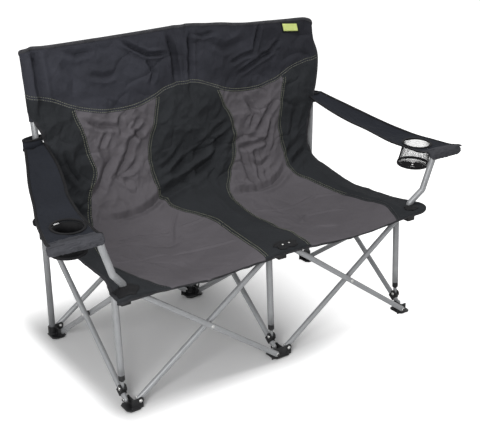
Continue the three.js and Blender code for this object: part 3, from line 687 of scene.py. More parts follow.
# Folds as (depth in mm, half width in mm, places along it); a negative depth is a ridge
FOLDS = [
    (5, 7, [(-.345, .777), (-.300, .753), (-.232, .739)]),
    (7, 9, [(-.140, .733), (-.194, .695), (-.221, .640), (-.263, .596)]),
    (7, 10, [(-.262, .660), (-.292, .622), (-.315, .584), (-.352, .562)]),
    (5, 8, [(-.182, .632), (-.244, .601), (-.219, .579)]),
    (5, 7, [(-.228, .770), (-.226, .735), (-.223, .712)]),
    (7, 9, [(-.122, .522), (-.165, .505), (-.205, .495), (-.245, .492), (-.315, .492)]),
    (2.6, 4.5, [(-.099, .463), (-.153, .398), (-.192, .327)]),
    (9, 11, [(.158, .656), (.07, .628), (-.025, .592), (-.062, .568)]),
    (10, 12, [(.145, .668), (.087, .586), (-.007, .539), (-.118, .526), (-.160, .503)]),
    (7, 9, [(.152, .700), (.09, .662), (.030, .628)]),
    (6, 9, [(.135, .615), (.09, .560), (.05, .530)]),
    (5, 8, [(-.035, .640), (-.075, .607), (-.11, .59)]),
    (6, 7, [(.310, .622), (.25, .612), (.190, .611)]),
    (7, 8, [(.345, .735), (.305, .690), (.270, .650)]),
    (6, 8, [(.328, .680), (.308, .63), (.290, .588)]),
    (6, 8, [(.192, .613), (.198, .565), (.203, .525), (.218, .478)]),
    (8, 9, [(.362, .527), (.315, .500), (.276, .485), (.229, .478), (.160, .480), (.105, .474)]),
    (5, 7, [(.245, .60), (.252, .55), (.235, .50)]),
    (-3.4, 4.0, [(-.352, .391), (-.264, .402), (-.165, .373)]),
    (-3.4, 4.0, [(-.245, .262), (-.147, .223), (-.070, .172)]),
    (-2.8, 4.0, [(-.420, .250), (-.300, .275), (-.24, .272)]),
    (-3.0, 4.0, [(-.130, .377), (-.055, .366)]),
    (-3.4, 4.5, [(.120, .366), (.260, .354), (.363, .358), (.425, .316)]),
    (-3.4, 4.5, [(.215, .240), (.265, .283), (.313, .268), (.372, .215)]),
    (-3.2, 4.5, [(.16, .150), (.23, .175), (.28, .140)]),
    (7, 5.5, [(-.210, .998), (-.165, .968), (-.116, .940), (-.050, .936)]),
    (9, 8, [(-.046, 1.01), (-.030, .929), (-.028, .840)]),
    (8, 8, [(.040, 1.01), (.024, .910), (.024, .840)]),
    (6, 6, [(.205, .838), (.272, .868), (.360, .900)]),
    (9, 11, [(-.469, 1.02), (-.469, .917), (-.466, .820)]),
    (4, 9, [(-.385, .985), (-.345, .966), (-.300, .970)]),
    (5, 6, [(-.120, .930), (-.10, .885), (-.115, .850)]),
    (6, 6, [(.300, .99), (.285, .94), (.270, .900)]),
    (5, 6, [(.375, .925), (.330, .895), (.290, .885)]),
    (5, 6, [(.180, .875), (.225, .893), (.275, .900)]),
    (5, 6, [(.040, .985), (.080, .975), (.125, .980)]),
    (4, 8, [(-.310, .905), (-.265, .893), (-.225, .897)]),
    (5, 7, [(-.270, .735), (-.300, .690), (-.283, .640)]),
    (5, 7, [(-.160, .760), (-.185, .728), (-.150, .675)]),
    (5, 7, [(.235, .750), (.262, .700), (.240, .655)]),
    (4, 7, [(.300, .560), (.262, .545), (.232, .560)]),
    (3.5, 12, [(-.40, .955), (-.36, .90), (-.37, .85)]),
    (3.5, 10, [(.10, .955), (.16, .925), (.24, .94)]),
    (5, 9, [(-.42, .70), (-.40, .64), (-.375, .60)]),
    (5, 9, [(.43, .72), (.415, .65), (.395, .60)]),
    (6, 10, [(.455, .55), (.41, .535), (.375, .52)]),
    (6, 10, [(-.455, .55), (-.41, .535), (-.38, .51)]),
    (4, 10, [(.44, .60), (.40, .575), (.37, .56)]),
]


def layered(layers, x, s):
    """The sum of several layers of noise."""
    total = 0
    for kind, slanting, across, shift, along, seed, height in layers:
        u, v = (x * 0.8 + s * 0.6, s * 0.8 - x * 0.6) if slanting else (x, s)
        total = total + kind(u * across + shift, v * along, seed) * height / 1000
    return total


def fold_depth(x, s):
    """Grooves with a low shoulder on each side, fading out at both ends."""
    total = np.zeros_like(x)
    for depth, width, path in FOLDS:
        depth, width = depth / 1000, width / 1000
        reached = distances(path)
        nearest, place = np.full_like(x, np.inf), np.zeros_like(x)
        for (ax, ay), (bx, by), start, end in zip(path, path[1:], reached, reached[1:]):
            w = np.clip(((x - ax) * (bx - ax) + (s - ay) * (by - ay)) / (end - start) ** 2, 0, 1)
            gap = np.hypot(x - ax - (bx - ax) * w, s - ay - (by - ay) * w)
            place = np.where(gap < nearest, (start + w * (end - start)) / reached[-1], place)
            nearest = np.minimum(gap, nearest)
        falloff = np.clip(np.minimum(place, 1 - place) * 5 + 0.15, 0, 1)
        groove = np.exp(-(nearest / width) ** 1.1)
        shoulder = np.exp(-((nearest - 2 * width) / width) ** 2) * 0.5
        stronger = 1.25 + 0.55 * steps_between(np.mean(path, axis=0)[1], *BACK_STARTS)
        total += stronger * depth * falloff * (shoulder - groove)
    return total


def wrinkle(x, s):
    """How far the cloth stands out of its plain shape."""
    back = steps_between(s, *BACK_STARTS) * (1 - steps_between(s, *BACK_ENDS))
    head = steps_between(s, *HEAD_STARTS)
    seat = 1 - steps_between(s, *SEAT_ENDS)
    total = back * layered(BACK_NOISE, x, s) + head * layered(HEAD_NOISE, x, s)
    total = total + seat * layered(SEAT_NOISE, x, s) + fold_depth(x, s)
    near_hub = np.exp(-(from_column(x) / 0.06) ** 4)
    calm = 1 - near_hub * (1 - steps_between(s, *HUB_ENDS))
    edge = np.clip((TOP_S - s) / 0.03, 0.25, 1)
    at_side = steps_between(np.abs(x), SPACING - 0.012, SPACING)
    round_pole = 1 - 0.85 * at_side * steps_between(s, *LEFT_WRAP)
    deepest = 0.0035 + 1.2 * np.maximum(from_column(x) - 0.012, 0)
    return np.maximum(total * calm * edge * round_pole, -deepest)


def bay_dip(x):
    """0 over a column and 1 in the middle of a bay."""
    inside = np.where(np.abs(x) >= SPACING, 0, np.abs(x) % SPACING / SPACING)
    across = np.clip((inside - 0.08) / 0.84, 0, 1)
    return np.sin(np.pi * across) ** 0.85


def rounded(x, start, width):
    """How far a quarter round corner has fallen back at x, from 0 at start to nearly 1."""
    corner = np.clip((np.abs(x) - start) / width, 0, 1)
    return 1 - np.sqrt(1 - corner ** 2 * 0.97)


def plain_sling(x, s):
    """The sling without wrinkles, as an array of points; its head panel wraps round the outer poles."""
    dip = bay_dip(x)
    (y, z), bay = along_curve(COLUMN_CURVE, s), along_curve(BAY_CURVE, s)
    y, z = y * (1 - dip) + bay[0] * dip, z * (1 - dip) + bay[1] * dip
    over_pole = np.exp(-(from_column(x) / 0.0135) ** 4)
    between = 1 - np.exp(-(from_column(x) / 0.016) ** 4)
    head = steps_between(s, 0.79, 0.83)
    y = y + head * (0.006 * np.where(np.abs(x) < SPACING, between, 0) - 0.003 * over_pole)
    y = y + np.where(x < 0, 0.034, 0.016) * rounded(x, 0.487, 0.050) * (1 - steps_between(s, 0.0, 0.085))
    z = z - 0.012 * steps_between(-x, 0.498, 0.53) * (1 - steps_between(s, 0.12, 0.22))
    wrapped = np.where(x < 0, steps_between(s, *LEFT_WRAP), steps_between(s, *RIGHT_WRAP))
    wrapped = np.maximum(wrapped, 0.02)
    past = np.maximum(np.abs(x) - SPACING, 0)
    turn = past / WRAP_R * wrapped
    x = np.where(past > 0, np.sign(x) * (SPACING + WRAP_WIDE / wrapped * np.sin(turn)), x)
    y = y + WRAP_DEEP / wrapped * (1 - np.cos(turn))
    return np.stack([x, y, z], -1)


def slope(surface, x, s, e):
    """The unit normals of a surface at places (x, s), from points e to either side."""
    across = surface(x + e, s) - surface(x - e, s)
    return unit(np.cross(across, surface(x, s + e) - surface(x, s - e)))


def sling(x, s, lift=0.0):
    """Points on the cloth's upper face at places (x, s), raised by lift along its normal."""
    return plain_sling(x, s) + slope(plain_sling, x, s, 0.002) * (wrinkle(x, s) + lift)[..., None]


# Where the panels meet, as (s, x) along each seam, and the wavy seam under the head panel as (x, s)
LEFT_OUTER = [(0, -.375), (.03, -.40), (.07, -.418), (.12, -.430), (.21, -.438), (.30, -.430), (.36, -.418),
              (.44, -.392), (.497, -.374), (.53, -.363), (.58, -.342), (.627, -.320), (.667, -.330),
              (.72, -.343), (.77, -.358), (.81, -.369)]
LEFT_INNER = [(0, -.088), (.07, -.078), (.13, -.070), (.228, -.057), (.322, -.050), (.385, -.063),
              (.432, -.090), (.478, -.118), (.522, -.133), (.56, -.137), (.615, -.145), (.659, -.143),
              (.714, -.126), (.757, -.114), (.81, -.103)]
RIGHT_INNER = [(0, .074), (.05, .080), (.143, .097), (.26, .110), (.356, .104), (.432, .096), (.492, .110),
               (.534, .138), (.591, .168), (.651, .181), (.712, .171), (.747, .150), (.793, .126),
               (.83, .115)]
RIGHT_OUTER = [(0, .392), (.03, .410), (.065, .425), (.11, .438), (.172, .436), (.26, .430), (.351, .420),
               (.436, .398), (.485, .370), (.523, .359), (.557, .358), (.622, .352), (.685, .356),
               (.747, .363), (.80, .377)]
HEAD_SEAM = [(-.512, .866), (-.440, .846), (-.374, .815), (-.305, .793), (-.240, .785), (-.175, .789),
             (-.113, .806), (-.061, .828), (-.007, .837), (.048, .832), (.107, .808), (.150, .792),
             (.192, .783), (.263, .780), (.319, .790), (.368, .805), (.430, .833), (.512, .852)]

# How far out the cloth's side edges lie, as (s, x), and how far its top edge is from TOP_S, as (x, s)
LEFT_WIDTH = [(0, .531), (.02, .537), (.05, .537), (.09, .526), (.14, .514), (.30, .507), (.42, .500),
              (.48, .480), (.53, .458), (.58, .449), (.64, .453), (.70, .466), (.76, .484), (.80, .501),
              (.84, .533), (.90, .535), (1.02, .535)]
RIGHT_WIDTH = [(0, .531), (.02, .538), (.05, .538), (.09, .524), (.14, .511), (.30, .506), (.42, .500),
               (.48, .492), (.53, .480), (.58, .472), (.64, .472), (.70, .485), (.76, .503), (.80, .514),
               (.84, .521), (.90, .527), (.96, .534), (1.02, .535)]
TOP_LINE = [(-.535, -.010), (-.5185, -.001), (-.508, .004), (-.496, .0065), (-.485, .008), (-.475, .0085),
            (-.46, .0075), (-.44, .0065), (-.40, .0065), (-.30, .0085), (-.25, .0095), (-.15, .0125),
            (-.05, .0165), (0, .019), (.05, .017), (.10, .012), (.15, .0085), (.20, .002), (.25, -.0025),
            (.30, -.004), (.40, -.007), (.45, -.0078), (.475, -.0090), (.486, -.0112), (.496, -.0155),
            (.504, -.0220), (.512, -.0290), (.5185, -.0330), (.535, -.0350)]

# Each seam with the side of it on which its grey panel lies, and the grid's steps across each panel
SEAMS = ((LEFT_OUTER, -1), (LEFT_INNER, 1), (RIGHT_INNER, -1), (RIGHT_OUTER, 1))
PANEL_STEPS = (40, 92, 66, 92, 40)


def smooth_table(table, value):
    """A smooth curve through (place, value) pairs, ends held."""
    curve = spline(table, 40 * len(table))
    return np.interp(value, curve[:, 0], curve[:, 1])


def top_s(x):
    return TOP_S + smooth_table(TOP_LINE, x)


def front_s(x):
    """The front hem, which hangs a little lower over the left hub than over the right one."""
    near_hub = np.exp(-(from_column(x) / 0.075) ** 4)
    drop = np.interp(x, [-0.40, -0.10, 0.10, 0.40], [-0.010, -0.006, -0.006, -0.003])
    return drop * near_hub + 0.007 * rounded(x, 0.505, 0.032)


def seam_s(x):
    return smooth_table(HEAD_SEAM, x)


def row_x(s):
    """x at each step along a row of the grid, whose columns follow the panel seams."""
    seams = [smooth_table(seam, s) for seam, _ in SEAMS]
    knots = [-smooth_table(LEFT_WIDTH, s), *seams, smooth_table(RIGHT_WIDTH, s)]
    x, start = np.empty_like(s), 0
    for left, right, steps in zip(knots, knots[1:], PANEL_STEPS):
        w = np.arange(steps + 1) / steps
        part = slice(start, start + steps + 1)
        x[part] = left[part] * (1 - w) + right[part] * w
        start += steps
    return x


def sling_grid(rows):
    """x and s at every grid place; rows maps x to that row's s."""
    x_all, s_all = [], []
    for row in rows:
        x = np.linspace(-0.5, 0.5, sum(PANEL_STEPS) + 1)
        for _ in range(3):
            x = row_x(row(x))
        x_all.append(x)
        s_all.append(row(x))
    return np.array(x_all), np.array(s_all)


def even_rows(low, high, count):
    return [lambda x, w=k / count: low(x) * (1 - w) + high(x) * w for k in range(count + 1)]


def level(s):
    return lambda x: np.full_like(x, s)


def grid_faces(height, width):
    """A grid of point numbers and the faces between them."""
    grid = np.arange(height * width).reshape(height, width)
    corners = grid[:-1, :-1], grid[:-1, 1:], grid[1:, 1:], grid[1:, :-1]
    return grid, np.stack(corners, -1).reshape(-1, 4)


def slab_faces(height, width):
    """The broad faces and the rims of a sheet, made of an upper grid of points and then a lower one."""
    grid, upper = grid_faces(height, width)
    rims = []
    for line, flip in ((grid[0], True), (grid[-1], False), (grid[:, 0], False), (grid[:, -1], True)):
        p, q = line[:-1], line[1:]
        rim = np.stack([p, q, q + grid.size, p + grid.size], 1)
        rims.append(rim[:, ::-1] if flip else rim)
    return np.concatenate([upper, upper[:, [0, 3, 2, 1]] + grid.size]), np.concatenate(rims)


def cloth_piece(name, node, body, rows, head_from=None):
    """A piece of the sling, with flat rims so that it meets its neighbours unseen."""
    x, s = sling_grid(rows)
    broad, rims = slab_faces(*x.shape)
    regions = np.tile(np.repeat([0, 1, 0, 1, 0], PANEL_STEPS), (len(rows) - 1, 1))
    if head_from is not None:
        regions[head_from:] = 2
    mats = np.concatenate([regions.ravel(), regions.ravel(), np.zeros(len(rims), int)])
    points = np.concatenate([sling(x, s).reshape(-1, 3), sling(x, s, -CLOTH_THICK).reshape(-1, 3)])
    uvs = np.tile(np.stack([x.ravel(), s.ravel()], -1), (2, 1))
    faces = np.concatenate([broad, rims]).tolist()
    obj = new_object(name, points, faces, [DARK, GREY, HEAD], mats, uvs)
    obj.data.polygons.foreach_set("use_smooth", np.arange(len(obj.data.polygons)) < len(broad))
    normal = slope(sling, x, s, 0.0015).reshape(-1, 3)
    obj.data.normals_split_custom_set_from_vertices(np.concatenate([normal, -normal]).tolist())
    return placed(obj, "charcoal_cloth", body, node)


def band(points, inward_points, half_wide, half_thick):
    """A flat hem roll along points, its width lying towards inward_points."""
    rings = []
    for p, q, t in zip(points, inward_points, np.gradient(np.asarray(points), axis=0)):
        tangent = Vector(t).normalized()
        inward = Vector(q) - Vector(p)
        inward = (inward - tangent * inward.dot(tangent)).normalized()
        normal = tangent.cross(inward)
        centre = Vector(p) + inward * (half_wide * 0.75)
        rings.append([centre + inward * (half_wide * c) + normal * (half_thick * s) for c, s in circle(10)])
    return ring_loft(rings)


def edge_band(x, s, inward, half_wide=0.0048, half_thick=0.0017, tape=0):
    edge, inside = sling(x, s, -0.0006), sling(x + inward[0], s + inward[1], -0.0006)
    return (*band(edge, inside, half_wide, half_thick), tape)


def stepped(low, high, step):
    return np.linspace(low, high, max(int((high - low) / step), 4))


def side_edges(low, high):
    s = stepped(low, high, 0.006)
    return [edge_band(-smooth_table(LEFT_WIDTH, s), s, (0.01, 0)),
            edge_band(smooth_table(RIGHT_WIDTH, s), s, (-0.01, 0))]


# Stitches as (length, gap, half width, share of the width that the crown keeps)
SLING_STITCH = (0.0052, 0.002, 0.00065, 0.8)
ARM_STITCH = (0.0042, 0.0022, 0.0005, 1.0)
STITCH_ROWS = (0.003, 0.0105)


def stitched(line, above, stitch, gap, half, crown):
    """Stitches along a line, each a short raised box; the line above it shows which way is up."""
    run = distances(line)
    verts, faces, at = [], [], 0.0

    def place(source, d):
        return Vector([np.interp(d, run, source[:, k]) for k in range(3)])

    while at + stitch < run[-1]:
        a, b = place(line, at), place(line, at + stitch)
        up = (place(above, at + stitch / 2) - place(line, at + stitch / 2)).normalized()
        side = (b - a).cross(up).normalized() * half
        middle = (a + b) / 2 + up * half
        k = len(verts)
        verts += [a - side, a + side, b + side, b - side, middle - side * crown, middle + side * crown]
        faces += [(k, k + 4, k + 5, k + 1), (k + 4, k + 3, k + 2, k + 5), (k, k + 3, k + 4),
                  (k + 1, k + 5, k + 2), (k, k + 1, k + 2, k + 3)]
        at += stitch + gap
    return verts, faces


def sling_stitches(x, s, tone=0):
    return (*stitched(sling(x, s, 0.0006), sling(x, s, 0.0016), *SLING_STITCH), tone)


def seam_end(seam):
    """How far up the cloth a panel seam runs before it meets the head seam."""
    s = np.linspace(0.74, 0.87, 60)
    return float(s[np.argmin(np.abs(seam_s(smooth_table(seam, s)) - s))])


def panel_stitches(low, high=None, outer=0):
    """Stitches along the panel seams, up to high or the head seam; outer is the outer seams' material."""
    parts = []
    for (seam, side), tone in zip(SEAMS, (outer, 0, 0, outer)):
        s = stepped(low, seam_end(seam) if high is None else high, 0.004)
        parts += [sling_stitches(smooth_table(seam, s) + side * offset, s, tone) for offset in STITCH_ROWS]
    return parts


# Reinforcing patches over the front hubs as (middle x, half width, lowest s, highest s)
HUB_PATCHES = [(-0.498, 0.031, 0.012, 0.062), (0.0, 0.036, 0.014, 0.056), (0.480, 0.022, 0.020, 0.052)]


def hub_patches():
    """The black patches with their outlines ragged from wear, and the two rivets of the centre one."""
    parts = []
    v, u = (place.ravel() for place in np.mgrid[-1:1:21j, -1:1:21j])
    faces = np.concatenate(slab_faces(21, 21)).tolist()
    for middle, half_x, low, high in HUB_PATCHES:
        centre, half_s = (low + high) / 2, (high - low) / 2
        turn = np.arctan2(v, u)
        ragged = 1 + 0.10 * np.sin(5 * turn + middle * 9) + 0.05 * np.sin(9 * turn)
        x = middle + half_x * u * np.sqrt(1 - 0.32 * v * v) * ragged
        s = centre + half_s * v * np.sqrt(1 - 0.32 * u * u) * ragged
        top = sling(x, s, 0.0020) + ridged(x * 70, s * 60, 41)[:, None] * (0, 0, 0.0012)
        parts.append((np.concatenate([top, sling(x, s, 0.0002)]).tolist(), faces, 2))
        for shift in (-0.011, 0.011) if middle == 0 else ():
            place = sling(np.array([middle + shift]), np.array([centre]), 0.003)[0]
            parts.append((*dome(place, (0, 0, 1), 0.0032, 0.0018), 3))
    return parts


def with_trims(stem, cloth, body, hem, tapes, stitches, threads):
    """Gives a piece of the sling its hem and its stitching, which fold with it."""
    hem = joined(f"{stem}_hem", hem, tapes, "charcoal_cloth", body)
    stitching = joined(f"{stem}_stitching", stitches, threads, "charcoal_cloth", body)
    for piece in (cloth, hem, stitching):
        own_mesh(piece)


def seat_front():
    cloth = cloth_piece("seat_front_cloth", "seat_cloth_front", "seat_front",
                        even_rows(front_s, level(CREASE_S), 92))
    x = np.linspace(-0.531, 0.531, 300)
    hem = [edge_band(x, front_s(x), (0, 0.01), 0.0046, 0.0019)] + side_edges(0.006, CREASE_S)
    stitches = panel_stitches(0.014, CREASE_S, outer=1) + hub_patches()
    with_trims("seat_front", cloth, "seat_front", hem, [HEM], stitches, [THREAD, DARK_THREAD, BINDING, STEEL])


def seat_rear():
    cloth = cloth_piece("seat_rear_cloth", "seat_cloth_rear", "seat_rear",
                        even_rows(level(CREASE_S), level(SPLIT_S), 80))
    with_trims("seat_rear", cloth, "seat_rear", side_edges(CREASE_S, SPLIT_S), [HEM],
               panel_stitches(CREASE_S, SPLIT_S), [THREAD])


def back():
    rows = even_rows(level(SPLIT_S), seam_s, 112) + even_rows(seam_s, top_s, 72)[1:]
    cloth = cloth_piece("back_panels", "back_cloth", "frame", rows, head_from=112)
    x = np.linspace(-0.5345, 0.5345, 300)
    hem = side_edges(SPLIT_S, 0.974) + [edge_band(x, top_s(x), (0, -0.01), 0.0052, 0.0026, tape=1)]
    x = np.linspace(-0.525, 0.525, 340)
    stitches = panel_stitches(SPLIT_S) + [sling_stitches(x, seam_s(x) + offset) for offset in STITCH_ROWS]
    with_trims("back", cloth, "frame", hem, [HEM, TOP_HEM], stitches, [THREAD])


seat_front()
seat_rear()
back()


# Sleeves on the back of the head panel

SLEEVE_START, SLEEVE_STEPS = 0.680, 26
SLEEVE_OUTER, SLEEVE_INNER = 0.0117, 0.0106

# The sleeve's closed end as (height over its top, radius)
SLEEVE_CAP = [(0.0008, 0.0085), (0.0010, 0.0006), (-0.0002, 0.0006), (-0.0004, 0.0085)]


def sleeves():
    """A sock of cloth over each pole, closed at the top."""
    for name, (x, _, _) in COLUMNS.items():
        end = POLE_TOPS[name] + 0.002
        wall = []
        for k in range(SLEEVE_STEPS + 1):
            z = SLEEVE_START + (end - SLEEVE_START) * k / SLEEVE_STEPS
            wall.append((pole_y(z), z, 0.0004 * math.sin(k * 1.9 + x * 9) + 0.0002 * math.sin(k * 0.7)))
        stations = [(y, z, SLEEVE_OUTER + pinch) for y, z, pinch in wall]
        stations += [(pole_y(end), end + rise, radius) for rise, radius in SLEEVE_CAP]
        stations += [(y, z, SLEEVE_INNER + pinch) for y, z, pinch in wall[::-1]]
        rings = [[Vector((x + r * c, y + r * s, z)) for c, s in circle(28)] for y, z, r in stations]
        verts, faces = ring_loft(rings, looped=True)
        obj = new_object(f"sleeve_{name}_cloth", verts, faces, [HEAD], uvs=[(v[0], v[2]) for v in verts])
        placed(obj, "charcoal_cloth", REAR_BODY[name], f"pole_sleeve_{name}")


sleeves()


# Corner patch

PATCH_X, PATCH_S = (0.389, 0.446), (0.9510, 0.9750)
PATCH_RIM = 0.0055


def patch(name, material, rim, lift, slot, *nodes):
    """A thin patch on the head panel, set a little askew; rim is how far it reaches round the lime face."""
    x, s = np.meshgrid(np.linspace(PATCH_X[0] - rim, PATCH_X[1] + rim, 16),
                       np.linspace(PATCH_S[0] - rim, PATCH_S[1] + rim, 8))
    across, up = x - sum(PATCH_X) / 2, s - sum(PATCH_S) / 2
    x, s = (x - 0.20 * up).ravel(), (s - 0.10 * across).ravel()
    faces = grid_faces(8, 16)[1].tolist()
    obj = new_object(name, sling(x, s, lift), faces, [material], uvs=np.stack([x, s], -1))
    return placed(thickened(obj, 0.0009), slot, "frame", *nodes)


def corner_patch():
    border = patch("tag_border", BINDING, PATCH_RIM, 0.0016, "charcoal_cloth")
    lime = patch("tag_face", LIME, 0.0, 0.0026, "tag_fabric", "corner_tag")
    for piece in (border, lime):
        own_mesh(piece)


corner_patch()


# Arms

# A place on an arm is (across, along): across 0 at the inner edge, along the depth behind the front row.
# The edges are given as (along, distance out from the column) and the middle line as (along, height).
ARM_INNER = [(-.008, .052), (.115, .041), (.235, .025), (.300, .006), (.354, -.008), (.409, -.018),
             (.480, -.024), (.500, -.022)]
ARM_OUTER = [(-.006, .196), (.047, .185), (.140, .162), (.225, .133), (.320, .104), (.410, .070),
             (.497, .038), (.510, .030)]
ARM_LINE = [(-.020, .5178), (.030, .5205), (.088, .5235), (.145, .5265), (.200, .5365), (.300, .5585),
            (.400, .5875), (.456, .6035), (.497, .616), (.510, .620)]
ARM_THICK = 0.0022
ROLL_START, ROLL_END = (0.551, -0.2695, 0.5205), (0.692, -0.2500, 0.5120)
ROLL_R = 0.0142
POCKET_Y, POCKET_HALF_Y, POCKET_TURN, POCKET_RIM = 0.2465, 0.0165, -0.35, 0.0012
CUP_AT = (0.100, 0.088)
CUP_Z = 0.5235
CUP_TILT = math.radians(3)
CUP_LEAN = 0.12
CUP_HOLE = 0.0445


def arm_surface(out, across, along, lift=0.0):
    """Points on an arm's upper face: slack between its edges, and pleated over the tube at its front."""
    inner, outer = smooth_table(ARM_INNER, along), smooth_table(ARM_OUTER, along)
    x = SPACING + inner + (outer - inner) * across
    slack = np.clip((along - 0.13) / 0.06, 0, 1)
    away = np.sin(np.pi * np.clip(across, 0, 1)) ** 0.6
    pleat = np.exp(-np.abs(along - 0.004) / 0.026)
    z = smooth_table(ARM_LINE, along) + 0.009 * np.exp(-((along + 0.012) / 0.026) ** 2)
    z = z - 0.009 * slack * np.sin(np.pi * across) * np.clip((0.5 - along) / 0.1, 0, 1)
    z = z + crests(x * 17 + out, along * 12, 21) * 0.0035 * slack * away
    z = z + crests(x * 34 + out, along * 30, 22) * 0.0016 * away
    z = z + facets(x * 26 + out, along * 16, 24) * 0.0011 * away
    z = z + crests(x * 9 + out, (along + 0.12 * x) * 95, 23) * 0.0040 * pleat
    return np.stack([out * x, FRONT_Y + along, z + lift], -1)


def arm_cloth(name, out):
    """The arm's sheet, with painted highlight in streaks of the roll's lighter cloth along its front, and the
    round hole for its cup.
    """
    along = np.concatenate([np.linspace(-0.012, 0.05, 45), np.linspace(0.05, 0.498, 126)[1:]])
    a, b = np.meshgrid(np.linspace(0, 1, 55), along)
    points, b = arm_surface(out, a, b).reshape(-1, 3), b.ravel()
    centre = np.array([out * (SPACING + CUP_AT[0]), FRONT_Y + CUP_AT[1]])
    offset = points[:, :2] - centre
    distance = np.linalg.norm(offset, axis=1)
    inside = distance < CUP_HOLE
    faces = grid_faces(*a.shape)[1]
    faces = faces[~inside[faces].all(axis=1)]
    near_front = np.exp(-(np.maximum(b, 0) / 0.034) ** 2)
    streak = near_front * (0.55 + 0.75 * ridged(points[:, 0] * 11, b * 120 + points[:, 0] * 9, 27))
    # Faces where the streaks are strong take the lighter roll cloth, as painted highlight
    mats = (streak[faces[:, 0]] > 0.5).astype(int)
    used = np.zeros(len(points), bool)
    used[faces] = True
    rim = inside & used
    points[rim, :2] = centre + offset[rim] / distance[rim, None] * CUP_HOLE
    faces = (np.cumsum(used) - 1)[faces if out > 0 else faces[:, ::-1]]
    uvs = np.stack([points[used, 0], b[used]], -1)
    obj = new_object(f"arm_{name}_cloth", points[used], faces.tolist(), [ARM, ROLL], mats, uvs)
    return thickened(obj, ARM_THICK)


def arm_binding(out):
    parts = []
    along = np.linspace(-0.006, 0.494, 150)
    for across, inward in ((0.0, 0.05), (1.0, -0.05)):
        edge, inside = (arm_surface(out, np.full_like(along, a), along) for a in (across, across + inward))
        parts.append((*band(edge, inside, 0.0042, 0.0022), 0))
    return parts


def arm_stitches(out):
    parts = []
    along = np.linspace(0.03, 0.47, 120)
    for across in (0.055, 0.945):
        line = arm_surface(out, np.full_like(along, across), along, 0.0006)
        parts.append((*stitched(line, line + (0, 0, 0.001), *ARM_STITCH), 1))
    return parts


def arm_roll(out):
    """The front of the arm, turned under round its tube and crumpled lengthways."""
    start, end = (Vector((out * x, y, z)) for x, y, z in (ROLL_START, ROLL_END))
    steps, turn = 72, np.array(turns(48))
    rings = []
    for k in range(steps + 1):
        w = k / steps
        close = math.sqrt(max(1 - (1 - min(min(w, 1 - w) / 0.07, 1)) ** 2, 0.0))
        round_it, along = w * 5 + turn * 0.5, turn * 3.0 + w * 2 + out * 3
        fold = crests(round_it, along, 31) * 0.0044 + crests(round_it * 2.6, along * 1.7, 33) * 0.0014
        radii = (ROLL_R + fold) * (0.2 + 0.8 * close)
        ring = [start.lerp(end, w) + Vector((0, -math.cos(t), math.sin(t))) * r for t, r in zip(turn, radii)]
        rings.append(ring if out > 0 else ring[::-1])
    return ring_loft(rings)


def strap_end():
    """The black end of a strap that looks out from under the left arm."""
    points = [(-0.620, -0.060, 0.522), (-0.637, -0.066, 0.519), (-0.648, -0.072, 0.515),
              (-0.6515, -0.074, 0.513)]
    return swept(points, [(0.008, 0.003), (0.0115, 0.004), (0.0105, 0.004), (0.003, 0.001)], sides=16)


def oval_loop(centre, half_x, half_y, low, high, turn, wall=0.002):
    """An upright band of cloth with an oval plan, turned about its own axis."""
    rings = []
    middle = (low + high) / 2
    for inset, z in ((0, low), (0, middle), (0, high), (wall, high), (wall, middle), (wall, low)):
        ring = []
        for a in turns(40):
            bulge = 1 + 0.03 * math.sin(3 * a + z * 40)
            dx, dy = (half_x - inset) * bulge * math.cos(a), (half_y - inset) * bulge * math.sin(a)
            ring.append(Vector((centre[0] + dx * math.cos(turn) - dy * math.sin(turn),
                                centre[1] + dx * math.sin(turn) + dy * math.cos(turn), z)))
        rings.append(ring)
    return ring_loft(rings, looped=True)


def arm_pocket(out):
    """The pocket at the back of the arm that holds it to its pole, with a bound rim above and below."""
    centre_x, half_x, low, high = (0.506, 0.035, 0.607, 0.634) if out < 0 else (0.499, 0.024, 0.590, 0.617)
    centre, turn = (out * centre_x, POCKET_Y), out * POCKET_TURN
    parts = [(*oval_loop(centre, half_x, POCKET_HALF_Y, low, high, turn), 0)]
    for z in (low, high):
        rim = oval_loop(centre, half_x + POCKET_RIM, POCKET_HALF_Y + POCKET_RIM, z - 0.003, z + 0.002,
                        turn, 0.0032)
        parts.append((*rim, 1))
    return parts


def in_cup(centre, x, y, z):
    """A point given in the cup's own axes, which lean back."""
    y = y - CUP_LEAN * z
    return Vector((centre[0] + x, centre[1] + y * math.cos(CUP_TILT) - z * math.sin(CUP_TILT),
                   centre[2] + y * math.sin(CUP_TILT) + z * math.cos(CUP_TILT)))


def cup_ring(centre, radius, depth, half_wide, half_high):
    """A flattened ring round the cup's axis."""
    rings = []
    for c, s in circle(48):
        section = [(radius + half_wide * a, depth + half_high * b) for a, b in circle(10)]
        rings.append([in_cup(centre, r * c, r * s, z) for r, z in section])
    return ring_loft(rings, looped=True)


def cup_liner(centre):
    """A close black sheet inside the left holder's net, which makes that cup dark; the right holder has none.
    """
    profile = [(0.0400, -0.004), (0.0420, -0.03), (0.0445, -0.066), (0.0405, -0.0695), (0.0020, -0.0700),
               (0.0020, -0.0692), (0.0400, -0.0687), (0.0435, -0.0655), (0.0410, -0.03), (0.0390, -0.004)]
    rings = [[in_cup(centre, r * c, r * s, z) for c, s in circle(48)] for r, z in profile]
    return ring_loft(rings, looped=True)


